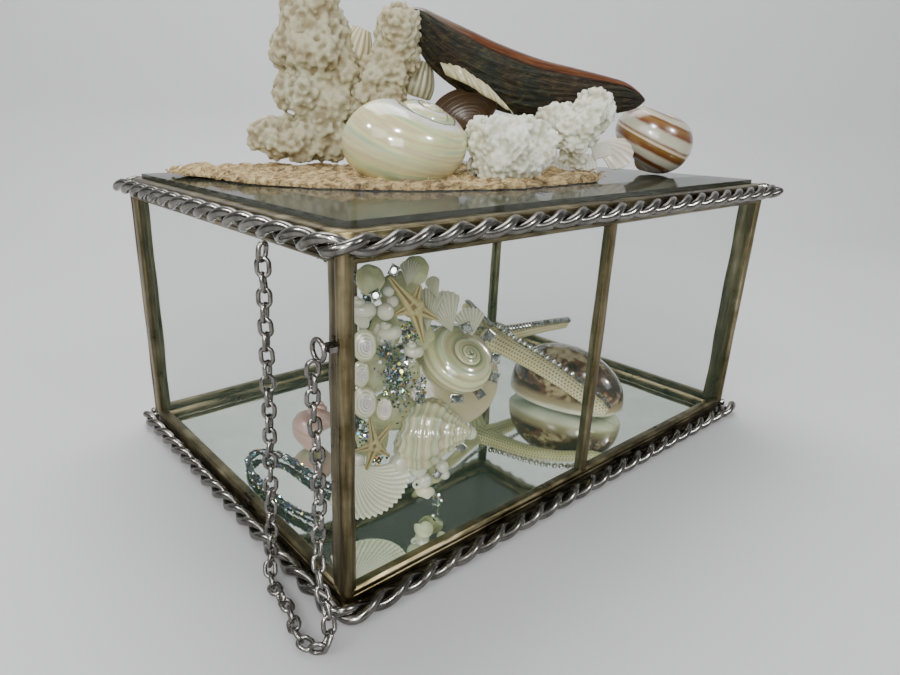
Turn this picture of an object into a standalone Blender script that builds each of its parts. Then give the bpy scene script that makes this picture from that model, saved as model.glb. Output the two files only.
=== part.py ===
"""Glass box with a mirror floor, a hinged glass lid, rope trim, a chain stay and sea shells.

World frame: the table is z = 0, X runs along the long side, the front faces -Y.
All driving sizes are in millimetres; one factor turns them into metres.
"""
import math

import bmesh
import bpy
from mathutils import Matrix, Vector

MM = 0.001
HX = 99.1            # half length between the post centres
HY = 68.0            # half depth between the post centres
RAIL = 1.65          # half thickness of every rail
GAP = 0.3            # play between separate pieces
TRAY_LOW, TRAY_HIGH = 0.4, 5.3
WALL_LOW, WALL_HIGH = 5.6, 95.6
WINDOW_LOW, WINDOW_HIGH = 7.5, 92.6
MIRROR_LOW, MIRROR_HIGH = 1.3, 3.1
PANE = 1.8           # pane thickness
SLOT = 2.4           # groove that holds a pane
GRIP = 1.2           # how deep the groove is
DIV_LEFT, DIV_RIGHT = -2.1, 1.1
FLANGE_FRONT = 1.9
FLANGE_BACK = 4.0
FLANGE_NEAR = 4.5
FLANGE_FAR = 5.0
ROPE_OFF = 4.55      # rope centre outside the post centres
ROPE_R = 2.6
ROPE_WAIST = 1.5
ROPE_STEP = 4.7      # a quarter turn of the twist
ROPE_BASE_Z = 2.7
ROPE_LID_Z = 97.0
ROPE_BEND = 5.5
LID_LOW, LID_HIGH = 95.9, 99.6
LID_LEDGE = 97.9
GLASS_INSET = 2.2
GLASS_HX, GLASS_HY = HX - GLASS_INSET, HY - GLASS_INSET
GLASS_LOW, GLASS_EDGE, GLASS_TOP = 98.2, 101.1, 102.2
GLASS_BEVEL = 18.0
HINGE_Y, HINGE_Z = HY + 4.4, 92.9
HINGE_R, HINGE_BORE, HINGE_PIN = 1.2, 0.9, 0.6
HINGE_X = (-45.0, 45.0)
FLOOR = MIRROR_HIGH + GAP
SHELF = GLASS_TOP + GAP

PART = "glass_box"

for ob in list(bpy.data.objects):
    bpy.data.objects.remove(ob, do_unlink=True)

home = bpy.data.collections.new(PART)
bpy.context.scene.collection.children.link(home)
tools = bpy.data.collections.new("cutters")
bpy.context.scene.collection.children.link(tools)


def material(name, colour, rough, metal=0.0, clear=0.0):
    mat = bpy.data.materials.new(name)
    mat.use_nodes = True
    shader = mat.node_tree.nodes["Principled BSDF"]
    shader.inputs["Base Color"].default_value = (*colour, 1.0)
    shader.inputs["Roughness"].default_value = rough
    shader.inputs["Metallic"].default_value = metal
    shader.inputs["Transmission Weight"].default_value = clear
    return mat


LOOKS = {
    "pewter": ((0.20, 0.19, 0.16), 0.25, 1.0, 0.0),
    "steel": ((0.50, 0.50, 0.48), 0.25, 1.0, 0.0),
    "mirror": ((0.80, 0.84, 0.81), 0.03, 1.0, 0.0),
    "glass": ((0.85, 0.92, 0.88), 0.02, 0.0, 1.0),
    "pearl": ((0.66, 0.63, 0.52), 0.25, 0.0, 0.0),
    "cream": ((0.66, 0.62, 0.48), 0.40, 0.0, 0.0),
    "chalk": ((0.64, 0.62, 0.55), 0.80, 0.0, 0.0),
    "coral": ((0.60, 0.56, 0.46), 0.90, 0.0, 0.0),
    "tan": ((0.48, 0.40, 0.20), 0.80, 0.0, 0.0),
    "brown": ((0.13, 0.08, 0.05), 0.25, 0.0, 0.0),
    "umber": ((0.10, 0.07, 0.05), 0.55, 0.0, 0.0),
    "pink": ((0.50, 0.32, 0.28), 0.45, 0.0, 0.0),
    "driftwood": ((0.16, 0.12, 0.08), 0.85, 0.0, 0.0),
    "glitter": ((0.22, 0.22, 0.22), 0.45, 0.6, 0.0),
}


def finish(ob, look):
    ob.data.materials.clear()
    ob.data.materials.append(material(ob.name, *LOOKS[look]))
    return ob


def place(name, bm, look, smooth=False, where=home):
    """Scale a millimetre mesh to metres and link it as one named object."""
    bmesh.ops.scale(bm, vec=(MM, MM, MM), verts=bm.verts)
    bmesh.ops.recalc_face_normals(bm, faces=bm.faces)
    if smooth:
        for face in bm.faces:
            face.smooth = True
    mesh = bpy.data.meshes.new(name)
    bm.to_mesh(mesh)
    bm.free()
    ob = bpy.data.objects.new(name, mesh)
    where.objects.link(ob)
    if smooth:
        mesh.set_sharp_from_angle(angle=math.radians(40))
    if where is home:
        finish(ob, look)
    return ob


def block(bm, x0, x1, y0, y1, z0, z1):
    span = Matrix.Diagonal((x1 - x0, y1 - y0, z1 - z0, 1.0))
    move = Matrix.Translation(((x0 + x1) / 2, (y0 + y1) / 2, (z0 + z1) / 2))
    return bmesh.ops.create_cube(bm, size=1.0, matrix=move @ span)["verts"]


def box(name, x0, x1, y0, y1, z0, z1, look):
    bm = bmesh.new()
    block(bm, x0, x1, y0, y1, z0, z1)
    return place(name, bm, look)


def round_block(bm, hx, hy, z0, z1, radius, segments):
    """A block on the Z axis with its four upright edges rounded."""
    verts = block(bm, -hx, hx, -hy, hy, z0, z1)
    inside = set(verts)
    edges = [e for e in bm.edges if e.verts[0] in inside
             and abs(e.verts[0].co.z - e.verts[1].co.z) > 1e-6]
    bmesh.ops.bevel(bm, geom=edges, offset=radius, segments=segments, profile=0.5,
                    affect="EDGES")


def cut(ob, name, *boxes):
    """Take a list of separate blocks away from an object."""
    for number, sizes in enumerate(boxes):
        bm = bmesh.new()
        block(bm, *sizes)
        tool = place("%s_%02d" % (name, number), bm, None, where=tools)
        tool.hide_render = True
        tool.display_type = "WIRE"
        mod = ob.modifiers.new(tool.name, "BOOLEAN")
        mod.operation = "DIFFERENCE"
        mod.solver = "EXACT"
        mod.object = tool


def join(ob, name, *parts):
    """Fuse further meshes with an object."""
    for number, bm in enumerate(parts):
        tool = place("%s_%02d" % (name, number), bm, None, where=tools)
        tool.hide_render = True
        tool.display_type = "WIRE"
        mod = ob.modifiers.new(tool.name, "BOOLEAN")
        mod.operation = "UNION"
        mod.solver = "EXACT"
        mod.object = tool


def frames(points, closed=False):
    """A side and an up direction for each point of a path, kept as level as they can be."""
    out = []
    count = len(points)
    for i, here in enumerate(points):
        before = points[(i - 1) % count] if (i or closed) else here
        after = points[(i + 1) % count] if (i < count - 1 or closed) else here
        along = (after - before).normalized()
        helper = Vector((0, 0, 1)) if abs(along.z) < 0.9 else Vector((1, 0, 0))
        side = along.cross(helper).normalized()
        out.append((side, side.cross(along).normalized()))
    return out


def loft(bm, points, ring, sides, turn=0.0):
    """Skin a row of rings; ring(i, angle) gives the two half widths as one radius pair."""
    rows = []
    for i, (side, up) in enumerate(frames(points)):
        row = []
        for k in range(sides):
            angle = 2 * math.pi * k / sides + turn
            a, b = ring(i, angle)
            row.append(bm.verts.new(points[i] + side * a + up * b))
        rows.append(row)
    for one, two in zip(rows, rows[1:]):
        for k in range(sides):
            j = (k + 1) % sides
            bm.faces.new((one[k], one[j], two[j], two[k]))
    bm.faces.new(rows[0])
    bm.faces.new(rows[-1][::-1])


def arc(cx, cy, radius, start, end, count, z):
    return [Vector((cx + radius * math.cos(math.radians(start + (end - start) * i / count)),
                    cy + radius * math.sin(math.radians(start + (end - start) * i / count)), z))
            for i in range(count + 1)]


def resample(points, step):
    """Points at even spacing along a polyline."""
    lengths = [(b - a).length for a, b in zip(points, points[1:])]
    total = sum(lengths)
    count = max(2, round(total / step))
    out = []
    for n in range(count + 1):
        want = total * n / count
        i = 0
        while i < len(lengths) - 1 and want > lengths[i]:
            want -= lengths[i]
            i += 1
        out.append(points[i].lerp(points[i + 1], min(1.0, want / lengths[i])))
    return out


def rope(name, path):
    """Two wires twisted together: a bar whose two lobes turn by a quarter from ring to ring."""
    points = resample(path, ROPE_STEP)

    def ring(i, angle):
        lobe = abs(math.cos(angle - math.pi / 2 * (i % 2))) ** 1.3
        r = ROPE_WAIST + (ROPE_R - ROPE_WAIST) * lobe
        return r * math.cos(angle), r * math.sin(angle)

    bm = bmesh.new()
    loft(bm, points, ring, 6, math.pi / 6)
    return place(name, bm, "pewter")


def rope_front(z):
    """Left side from the back corner, round the near corner, along the front, past the corner."""
    cx, cy = -HX - ROPE_OFF + ROPE_BEND, -HY - ROPE_OFF + ROPE_BEND
    return ([Vector((-HX - ROPE_OFF, HY + 3.0, z))]
            + arc(cx, cy, ROPE_BEND, 180, 270, 4, z)
            + [Vector((HX + 8.0, -HY - ROPE_OFF, z))])


def rope_back(z):
    """Back side, round the far corner, down the right side."""
    cx, cy = HX + ROPE_OFF - ROPE_BEND, HY + ROPE_OFF - ROPE_BEND
    return ([Vector((-HX - 1.4, HY + ROPE_OFF, z))]
            + arc(cx, cy, ROPE_BEND, 90, 0, 4, z)
            + [Vector((HX + ROPE_OFF, -HY - 1.4, z))])


def aim(centre, axis, roll=0.0):
    """A matrix that carries +Z onto an axis and the origin onto a centre."""
    turn = Vector(axis).normalized().to_track_quat("Z", "Y").to_matrix().to_4x4()
    return Matrix.Translation(Vector(centre)) @ turn @ Matrix.Rotation(roll, 4, "Z")


def turned(name, centre, axis, profile, sides, look):
    """A turned shape: a profile of (radius, height) pairs screwed round its axis."""
    mesh = bpy.data.meshes.new(name)
    points = [(r * MM, 0.0, h * MM) for r, h in profile]
    mesh.from_pydata(points, [(i, i + 1) for i in range(len(points) - 1)], [])
    ob = bpy.data.objects.new(name, mesh)
    home.objects.link(ob)
    mod = ob.modifiers.new("turn", "SCREW")
    mod.axis = "Z"
    mod.angle = 2 * math.pi
    mod.steps = sides
    mod.render_steps = sides
    mod.use_merge_vertices = True
    mod.merge_threshold = 0.00005
    mod.use_smooth_shade = True
    mat = aim(Vector(centre) * MM, axis)
    ob.matrix_world = mat
    return finish(ob, look)


def whorls(radius, height, count, spire=0.55):
    """Profile of a coiled shell, top to bottom: stepped whorls, then a rounded base."""
    out = [(0.0, height / 2)]
    for k in range(count):
        part = (k + 1) / count
        level = height / 2 - height * spire * (k + 0.55) / count
        out.append((radius * (0.22 + 0.78 * part ** 1.3), level))
        if k < count - 1:
            out.append((radius * (0.16 + 0.70 * part ** 1.3), level - height * spire * 0.3 / count))
    out += [(radius * 0.93, -height * 0.22), (radius * 0.55, -height * 0.43), (0.0, -height / 2)]
    return out


def coil(name, centre, axis, radius, height, count, sides, look="pearl", spire=0.55):
    return turned(name, centre, axis, whorls(radius, height, count, spire), sides, look)


def blob(name, centre, radii, axis=(0, 0, 1), roll=0.0, sides=10, rings=6, look="cream",
         shape=None):
    """A ball stretched to three half sizes, then optionally shaped."""
    bm = bmesh.new()
    bmesh.ops.create_uvsphere(bm, u_segments=sides, v_segments=rings, radius=1.0)
    for vert in bm.verts:
        if shape:
            vert.co = shape(vert.co.copy())
        vert.co = Vector((vert.co.x * radii[0], vert.co.y * radii[1], vert.co.z * radii[2]))
    bmesh.ops.transform(bm, matrix=aim(centre, axis, roll), verts=bm.verts)
    return place(name, bm, look, smooth=True)


def stalk_mesh(points, radii, sides=8):
    bm = bmesh.new()
    path = [Vector(p) for p in points]

    def ring(i, angle):
        r = radii[i] * (1.0 + 0.06 * math.cos(3 * angle + i))
        return r * math.cos(angle), r * math.sin(angle)

    loft(bm, path, ring, sides)
    return bm


def little_star(centre, tips, root, thick, up):
    """A small five-armed star: a ridge and a keel to each tip, and a notch between the arms."""
    mid = Vector(centre)
    top = Vector(up).normalized()
    ends = [Vector(t) for t in tips]
    count = len(ends)
    bm = bmesh.new()
    crown = bm.verts.new(mid + top * thick)
    under = bm.verts.new(mid - top * thick)
    points, notches = [], []
    for i in range(count):
        one = (ends[i] - mid).normalized()
        two = (ends[(i + 1) % count] - mid).normalized()
        points.append(bm.verts.new(ends[i]))
        notches.append(bm.verts.new(mid + (one + two).normalized() * root))
    for i in range(count):
        bm.faces.new((crown, points[i], notches[i]))
        bm.faces.new((crown, notches[i - 1], points[i]))
        bm.faces.new((under, notches[i], points[i]))
        bm.faces.new((under, points[i], notches[i - 1]))
    bmesh.ops.recalc_face_normals(bm, faces=bm.faces)
    return bm


def star_mesh(centre, tips, root, tip_half, thick, up, rows=3):
    """Arms from one centre to given tips, ridged on top and flat below, as one body."""
    mid = Vector(centre)
    top = Vector(up).normalized()
    ends = [Vector(t) for t in tips]
    count = len(ends)
    bm = bmesh.new()
    crown = bm.verts.new(mid + top * thick)
    under = bm.verts.new(mid - top * thick * 0.60)
    notch_high, notch_low = [], []
    for i in range(count):
        one = (ends[i] - mid).normalized()
        two = (ends[(i + 1) % count] - mid).normalized()
        way = (one + two).normalized()
        notch_high.append(bm.verts.new(mid + way * root + top * thick * 0.25))
        notch_low.append(bm.verts.new(mid + way * root - top * thick * 0.35))
    for i in range(count):
        arm = ends[i] - mid
        along = arm.normalized()
        side = top.cross(along).normalized()
        left = (notch_high[i], notch_low[i])
        right = (notch_high[i - 1], notch_low[i - 1])
        ridge, keel = crown, under
        for k in range(1, rows + 1):
            part = 0.30 + 0.70 * k / rows
            here = mid + arm * part
            fade = 1.0 - 0.55 * part
            half = tip_half * (1.5 - 0.5 * part) if k < rows else tip_half * 0.45
            high = thick * fade if k < rows else thick * 0.2
            new_ridge = bm.verts.new(here + top * high)
            new_keel = bm.verts.new(here - top * thick * 0.60)
            new_left = (bm.verts.new(here + side * half + top * thick * 0.1),
                        bm.verts.new(here + side * half - top * thick * 0.35))
            new_right = (bm.verts.new(here - side * half + top * thick * 0.1),
                         bm.verts.new(here - side * half - top * thick * 0.35))
            bm.faces.new((ridge, left[0], new_left[0], new_ridge))
            bm.faces.new((right[0], ridge, new_ridge, new_right[0]))
            bm.faces.new((left[0], left[1], new_left[1], new_left[0]))
            bm.faces.new((right[1], right[0], new_right[0], new_right[1]))
            bm.faces.new((keel, new_keel, new_left[1], left[1]))
            bm.faces.new((right[1], new_right[1], new_keel, keel))
            ridge, keel, left, right = new_ridge, new_keel, new_left, new_right
        bm.faces.new((right[0], ridge, left[0], left[1], keel, right[1]))
    bmesh.ops.triangulate(bm, faces=bm.faces)
    return bm


# The soldered frame: one block, hollowed, with windows and pane grooves cut through it.
def wall_frame():
    bm = bmesh.new()
    round_block(bm, HX + RAIL, HY + RAIL, WALL_LOW, WALL_HIGH, RAIL, 3)
    ob = place("wall_frame", bm, "pewter")
    inner_x, inner_y = HX - RAIL, HY - RAIL
    out = 6.0
    front_y = (-HY - out, -HY + out)
    back_y = (HY - out, HY + out)
    left_x = (-HX - out, -HX + out)
    right_x = (HX - out, HX + out)
    half = SLOT / 2
    low, high = WINDOW_LOW - GRIP, WINDOW_HIGH + GRIP
    cut(ob, "inside", (-inner_x, inner_x, -inner_y, inner_y, WALL_LOW - 5, WALL_HIGH + 5))
    shapes = []
    grooves = []
    for ys, y, flange in ((front_y, -HY, FLANGE_FRONT), (back_y, HY, FLANGE_BACK)):
        for x0, x1 in ((-HX + flange, DIV_LEFT), (DIV_RIGHT, HX - flange)):
            shapes.append((x0, x1, *ys, WINDOW_LOW, WINDOW_HIGH))
            grooves.append((x0 - GRIP, x1 + GRIP, y - half, y + half, low, high))
    for xs, x in ((left_x, -HX), (right_x, HX)):
        shapes.append((*xs, -HY + FLANGE_NEAR, HY - FLANGE_FAR, WINDOW_LOW, WINDOW_HIGH))
        grooves.append((x - half, x + half, -HY + FLANGE_NEAR - GRIP, HY - FLANGE_FAR + GRIP,
                        low, high))
    # the walls stand free between the block's faces, so the divider is kept whole
    cut(ob, "window", *shapes)
    cut(ob, "groove", *grooves)
    return ob


def panes():
    half = PANE / 2
    reach = GRIP - GAP
    low, high = WINDOW_LOW - reach, WINDOW_HIGH + reach
    for tag, y, flange in (("front", -HY, FLANGE_FRONT), ("back", HY, FLANGE_BACK)):
        spans = ((-HX + flange, DIV_LEFT), (DIV_RIGHT, HX - flange))
        for side, (x0, x1) in zip(("left", "right"), spans):
            box("pane_%s_%s" % (tag, side), x0 - reach, x1 + reach, y - half, y + half,
                low, high, "glass")
    for tag, x in (("left", -HX), ("right", HX)):
        box("pane_" + tag, x - half, x + half, -HY + FLANGE_NEAR - reach,
            HY - FLANGE_FAR + reach, low, high, "glass")


def base():
    bm = bmesh.new()
    round_block(bm, HX + 1.2, HY + 1.2, TRAY_LOW, TRAY_HIGH, 2.0, 3)
    ob = place("base_tray", bm, "pewter")
    hx, hy = HX - 2.4, HY - 2.4
    cut(ob, "tray_open", (-hx + 1.3, hx - 1.3, -hy + 1.3, hy - 1.3, TRAY_LOW - 5, TRAY_HIGH + 5))
    cut(ob, "tray_groove", (-hx - GAP, hx + GAP, -hy - GAP, hy + GAP,
                            MIRROR_LOW - GAP, MIRROR_HIGH + GAP))
    box("mirror_floor", -hx, hx, -hy, hy, MIRROR_LOW, MIRROR_HIGH, "mirror")


def lid():
    bm = bmesh.new()
    round_block(bm, HX + RAIL, HY + RAIL, LID_LOW, LID_HIGH, 5.0, 4)
    ob = place("lid_frame", bm, "pewter")
    cut(ob, "lid_open", (-GLASS_HX + 4, GLASS_HX - 4, -GLASS_HY + 4, GLASS_HY - 4, LID_LOW - 5, LID_HIGH + 5),
        (-GLASS_HX - GAP, GLASS_HX + GAP, -GLASS_HY - GAP, GLASS_HY + GAP, LID_LEDGE, LID_HIGH + 5))
    bm = bmesh.new()
    verts = block(bm, -GLASS_HX, GLASS_HX, -GLASS_HY, GLASS_HY, GLASS_LOW, GLASS_EDGE)
    top = [f for f in bm.faces if f.normal.z > 0.9]
    bmesh.ops.inset_region(bm, faces=top, thickness=GLASS_BEVEL, depth=0.0)
    for face in top:
        for vert in face.verts:
            vert.co.z = GLASS_TOP
    place("lid_glass", bm, "glass")


def tube(bm, x0, x1, y, z, radius, bore, sides=8):
    """A length of tube along X, closed at its ends by flat rings."""
    rings = []
    for x, r in ((x0, radius), (x1, radius), (x1, bore), (x0, bore)):
        rings.append([bm.verts.new((x, y + r * math.cos(2 * math.pi * k / sides),
                                    z + r * math.sin(2 * math.pi * k / sides)))
                      for k in range(sides)])
    for i in range(4):
        one, two = rings[i], rings[(i + 1) % 4]
        for k in range(sides):
            j = (k + 1) % sides
            bm.faces.new((one[k], one[j], two[j], two[k]))


def hinges():
    for tag, x in zip(("left", "right"), HINGE_X):
        pivot = bpy.data.objects.new("hinge_axis_" + tag, None)
        pivot.location = Vector((x, HINGE_Y, HINGE_Z)) * MM
        home.objects.link(pivot)
        bm = bmesh.new()
        block(bm, x - 8, x + 8, HY + RAIL + GAP, HY + RAIL + GAP + 0.65, 90.0, 93.4)
        leaf = place("hinge_leaf_" + tag, bm, "pewter")
        extra = []
        for x0, x1 in ((x - 8, x - 3), (x + 3, x + 8)):
            knuckle = bmesh.new()
            tube(knuckle, x0, x1, HINGE_Y, HINGE_Z, HINGE_R, HINGE_BORE)
            arm = bmesh.new()
            block(arm, x0 + 0.4, x1 - 0.4, HY + RAIL + GAP + 0.3, HINGE_Y - 1.0, 92.4, 93.3)
            extra += [knuckle, arm]
        join(leaf, "leaf_%s_join" % tag, *extra)
        bm = bmesh.new()
        tube(bm, x - 2.7, x + 2.7, HINGE_Y, HINGE_Z, HINGE_R, HINGE_BORE)
        place("hinge_knuckle_" + tag, bm, "pewter")
        bm = bmesh.new()
        turn = Matrix.Translation((x, HINGE_Y, HINGE_Z)) @ Matrix.Rotation(math.pi / 2, 4, "Y")
        bmesh.ops.create_cone(bm, cap_ends=True, segments=8, radius1=HINGE_PIN,
                              radius2=HINGE_PIN, depth=17.0, matrix=turn)
        place("hinge_pin_" + tag, bm, "steel")


# The chain hangs from the left edge of the lid, lies on the table and climbs to the near post.
# Its points are measured from the near left post.
CHAIN = [(-10.1, 17.5, 93.4), (-10.1, 18.2, 56.4), (-10.1, 20.8, 13.7),
         (-9.9, 23.1, 4.5), (-10.8, 21.8, 2.2), (-11.9, 17.5, 2.1), (-12.3, 12.7, 2.1),
         (-12.7, 8.4, 2.1), (-14.1, 3.8, 2.1), (-15.5, -0.8, 2.1), (-15.3, -5.1, 2.1),
         (-13.3, -8.4, 2.1), (-10.7, -8.6, 5), (-9.9, -5.4, 10.5), (-9.2, -1.4, 16.5),
         (-6.8, 2.5, 22.5), (-6, 2.8, 31.7), (-6, 3.1, 48),
         (-6, 4.5, 60), (-6, 4, 68.4)]
CHAIN_PITCH = 3.6


def chain():
    points = resample([Vector((x - HX, y - HY, z)) for x, y, z in CHAIN], CHAIN_PITCH / 2)

    def ring(i, angle):
        r = 1.85 if i % 2 == 0 else 1.15
        return r * math.cos(angle), r * 0.85 * math.sin(angle)

    bm = bmesh.new()
    loft(bm, points, ring, 4, math.pi / 4)
    place("chain", bm, "steel")

    # a small tab on the near post with a ring that carries the chain's end
    bm = bmesh.new()
    block(bm, -HX - 4.2, -HX - RAIL - GAP, -HY - 0.6, -HY + 4.0, 73.0, 74.2)
    ob = place("chain_hook", bm, "steel")
    loop = bmesh.new()
    sides, count = 6, 10
    rows = []
    for i in range(count):
        a = 2 * math.pi * i / count
        out = Vector((0, math.cos(a), math.sin(a)))
        mid = Vector((-HX - 4.6, -HY + 3.4, 73.4)) + out * 2.4
        rows.append([loop.verts.new(mid + (out * math.cos(2 * math.pi * k / sides)
                                           + Vector((1, 0, 0)) * math.sin(2 * math.pi * k / sides))
                                    * 0.6) for k in range(sides)])
    for i in range(count):
        one, two = rows[i], rows[(i + 1) % count]
        for k in range(sides):
            j = (k + 1) % sides
            loop.faces.new((one[k], one[j], two[j], two[k]))
    bmesh.ops.recalc_face_normals(loop, faces=loop.faces)
    join(ob, "ring", loop)


VIEW_RIGHT = Vector((0.776, -0.630, 0.0))
VIEW_AWAY = Vector((0.630, 0.776, 0.0))


def over(x, y, z):
    """A place above the lid's glass."""
    return (x, y, z + SHELF)


def on_lid():
    z = SHELF
    outline = [(-92, 47), (-88, 20), (-85, -3), (-66, -30), (-46, -43), (-24, -50), (4, -50),
               (24, -46), (24, -25), (6, -2), (-20, 12), (-60, 36)]
    bm = bmesh.new()
    low = [bm.verts.new((x, y, z)) for x, y in outline]
    high = [bm.verts.new((x * 0.97 - 1.0, y * 0.96, z + 2.8)) for x, y in outline]
    count = len(outline)
    bm.faces.new(low[::-1])
    bm.faces.new(high)
    for i in range(count):
        j = (i + 1) % count
        bm.faces.new((low[i], low[j], high[j], high[i]))
    place("driftwood", bm, "driftwood")
    deck = 2.8 + 2 * GAP

    coil("pearl_turban", over(-43.5, -19, 15.5), VIEW_RIGHT + Vector((0, 0, 0.25)), 11.3, 37.0,
         3, 12, "pearl")
    trunk = place("coral_tall", stalk_mesh([over(-48.7, 20.5, deck), over(-49, 20.5, 19.5),
                                            over(-50, 21, 37.5), over(-52.2, 21, 57.5)],
                                           [9.5, 8.2, 9.0, 8.6]), "coral", smooth=True)
    join(trunk, "branch", stalk_mesh([over(-50, 21.5, 15.5), over(-59, 26.5, 23.5), over(-62, 28.5, 34.5)],
                                     [6.0, 6.4, 4.6]),
         stalk_mesh([over(-52, 22, 8), over(-61, 27.5, 10), over(-67, 31, 16.5)], [4.5, 4.4, 3.6]))
    place("coral_finger", stalk_mesh([over(-33.0, 2.3, deck + 0.2), over(-33, 2.5, 18.5), over(-34, 4, 28.5),
                                      over(-33.5, 2.6, 40.5)], [5.2, 5.4, 5.6, 5.2]),
          "coral", smooth=True)
    place("coral_front", stalk_mesh([over(-17.5, -43.1, deck + 0.2), over(-17.4, -43, 8.5),
                                     over(-17, -42.4, 14.5), over(-17, -42, 20.5)],
                                    [7.5, 9.4, 9.2, 5.2]), "coral", smooth=True)
    place("coral_small", stalk_mesh([over(13.0, -40.7, deck + 0.2), over(13, -40.8, 9.5), over(12.5, -41, 18.5),
                                     over(12.5, -41.3, 26.5)], [5.5, 7.6, 10.4, 6.0]),
          "coral", smooth=True)
    start, end = Vector(over(-29.5, 3, 55.5)), Vector(over(52.5, -40.9, 25.9))
    span = (end - start).length / 2
    turned("long_shell", (start + end) / 2, end - start,
           [(0.0, span), (3.4, span - 6), (7.2, span - 24), (9.8, 8), (9.4, -14),
            (6.2, -span + 16), (0.0, -span)], 10, "umber")
    blob("ruffled_shell", over(-7.6, -19.2, 25.7), (9.5, 7.0, 6.6), VIEW_RIGHT, 0.3, 10, 6)
    coil("ridged_shell_left", over(-35.6, 17.6, 44.7), (0.2, -0.3, 1), 4.4, 13.0, 3, 8, "cream")
    coil("ridged_shell_right", over(-20.4, 5.4, 31.5), (0.3, -0.3, 1), 4.6, 13.0, 3, 8, "cream")
    coil("striped_snail", over(66.6, -38.4, 11.4), (-0.35, -0.55, 0.75), 13.0, 20.0, 3, 12, "umber",
         0.5)
    blob("white_shell", over(44.4, -36.2, 5.8), (8.2, 5.6, 6.6), VIEW_RIGHT, 0.0, 10, 6,
         "chalk")
    blob("white_chips", over(29.2, -32.6, 2.8), (4.2, 3.8, 2.6), (0, 0, 1), 0.0, 8, 6, "chalk")


def fan(name, centre, axis, roll, radius, look):
    """A ribbed fan: a shallow dome with a scalloped rim and a small hinge end."""
    def shape(co):
        angle = math.atan2(co.y, co.x)
        rib = 1.0 + 0.05 * math.cos(7 * angle)
        taper = 0.72 + 0.28 * co.y if co.y < 0 else 1.0
        return Vector((co.x * rib * taper, co.y * rib, co.z))
    return blob(name, centre, (radius, radius * 0.92, 2.4), axis, roll, 14, 6, look, shape)


def near(x, y, z):
    """A place inside the box, measured from the near left corner and the mirror."""
    return (x - HX, y - HY, z + FLOOR)


def inside():
    # the shells of a crown stand upright on the mirror and face the near corner
    face = (-0.60, -0.76, 0.25)
    coil("big_turban", near(60.8, 21.3, 44.3), (-0.55, -0.70, 0.42), 12.0, 25.0, 3, 14, "pearl")
    coil("whelk", near(44.6, 27.8, 28.9), (0.94, -0.33, -0.10), 8.6, 25.0, 4, 10, "pearl")
    fan("fan_shell", near(30.3, 27.2, 9.4), face, 0.0, 9.0, "cream")
    tips = [near(126.1, 11, 3.6), near(187.1, 74, 12.6), near(159.1, 120, 22.6),
            near(101.1, 120, 26.6), near(74.1, 60, 28.6)]
    place("starfish_large", star_mesh(near(130.1, 76, 24.1), tips, 9.0, 6.0, 4.4,
                                      (-0.20, -0.22, 0.95)), "tan")

    def belly(co):
        flat = max(co.z, -0.80)
        return Vector((co.x, co.y * (1.0 - 0.10 * co.x), flat))

    blob("cowrie", near(151.1, 40.5, 11.2), (24.0, 14.6, 14.0), (0, 0, 1),
         math.radians(-84), 14, 8, "brown", belly)
    coil("pink_shell", near(38.6, 77, 12.6), (0.35, 0.1, 0.92), 8.0, 24.0, 3, 10, "pink")
    for n, (x, y, z, r) in enumerate(((24.1, 26.2, 67.6, 3.4), (31.0, 23.9, 60.1, 3.4),
                                      (37.7, 21.8, 54.2, 3.4)), 1):
        coil("small_snail_%d" % n, near(x, y, z), face, r, 6.4, 2, 8, "pearl")
    for n, (x, y, z, r) in enumerate(((24.3, 26.0, 57.2, 3.4), (22.7, 26.6, 49.5, 3.3),
                                      (24.4, 26.0, 41.0, 3.9), (30.5, 24.1, 37.6, 2.9)), 1):
        coil("button_shell_%d" % n, near(x, y, z), face, r, 5.0, 2, 7, "pearl")
    place("small_star_upper", little_star(near(35.4, 18.4, 69.1),
                                        [near(29.1, 20.4, 77.7), near(38.2, 18.5, 75.2),
                                         near(43.8, 16.6, 64), near(38.8, 17.2, 58.3),
                                         near(30.5, 19.9, 67.3)],
                                        3.2, 2.2, face), "tan")
    place("small_star_lower", little_star(near(25.3, 20.6, 28.7),
                                        [near(23.4, 21.2, 38), near(31.1, 19.7, 34.1),
                                         near(29.6, 19.2, 23.7), near(21.9, 21.7, 19.4),
                                         near(18.8, 22.7, 28.3)],
                                        3.2, 2.2, face), "tan")
    for n, (x, y, z, r) in enumerate(((35.3, 21.6, 18.2, 2.9), (41.4, 20.0, 15.2, 2.7),
                                      (44.0, 19.2, 10.5, 2.1)), 1):
        blob("pearl_%d" % n, near(x, y, z), (r, r, r), sides=8, rings=6, look="pearl")
    coil("grey_ribbed_shell", near(50.6, 22.0, 65.6), (0.5, -0.4, 0.8), 6.0, 14.0, 3, 10, "chalk")
    coil("top_shell", near(25.7, 25.6, 77.3), face, 3.9, 4.0, 2, 8, "chalk")
    coil("cone_shell", near(45.3, 19.4, 4.2), (0.1, 0.0, -1.0), 3.2, 7.6, 2, 8, "cream")

    # one glitter cord: a loop on the mirror, then up behind the shells and out over the top
    loop = [near(11, 30, 1.8), near(7.1, 48, 1.8), near(8.1, 71, 1.8), near(15.1, 81, 1.8),
            near(22.1, 72, 1.8), near(23.1, 56, 1.8), near(25.0, 42, 2.6), near(27.6, 37.5, 10.6),
            near(28.4, 35.5, 28.6), near(29.1, 31.5, 58.6), near(28.1, 31, 72.6),
            near(25.6, 39, 77.6), near(23.1, 47, 80.6)]
    bm = bmesh.new()
    points = resample([Vector(p) for p in loop], 12.0)
    loft(bm, points, lambda i, a: (1.5 * math.cos(a), 1.5 * math.sin(a)), 6)
    place("glitter_cord", bm, "glitter")


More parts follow.
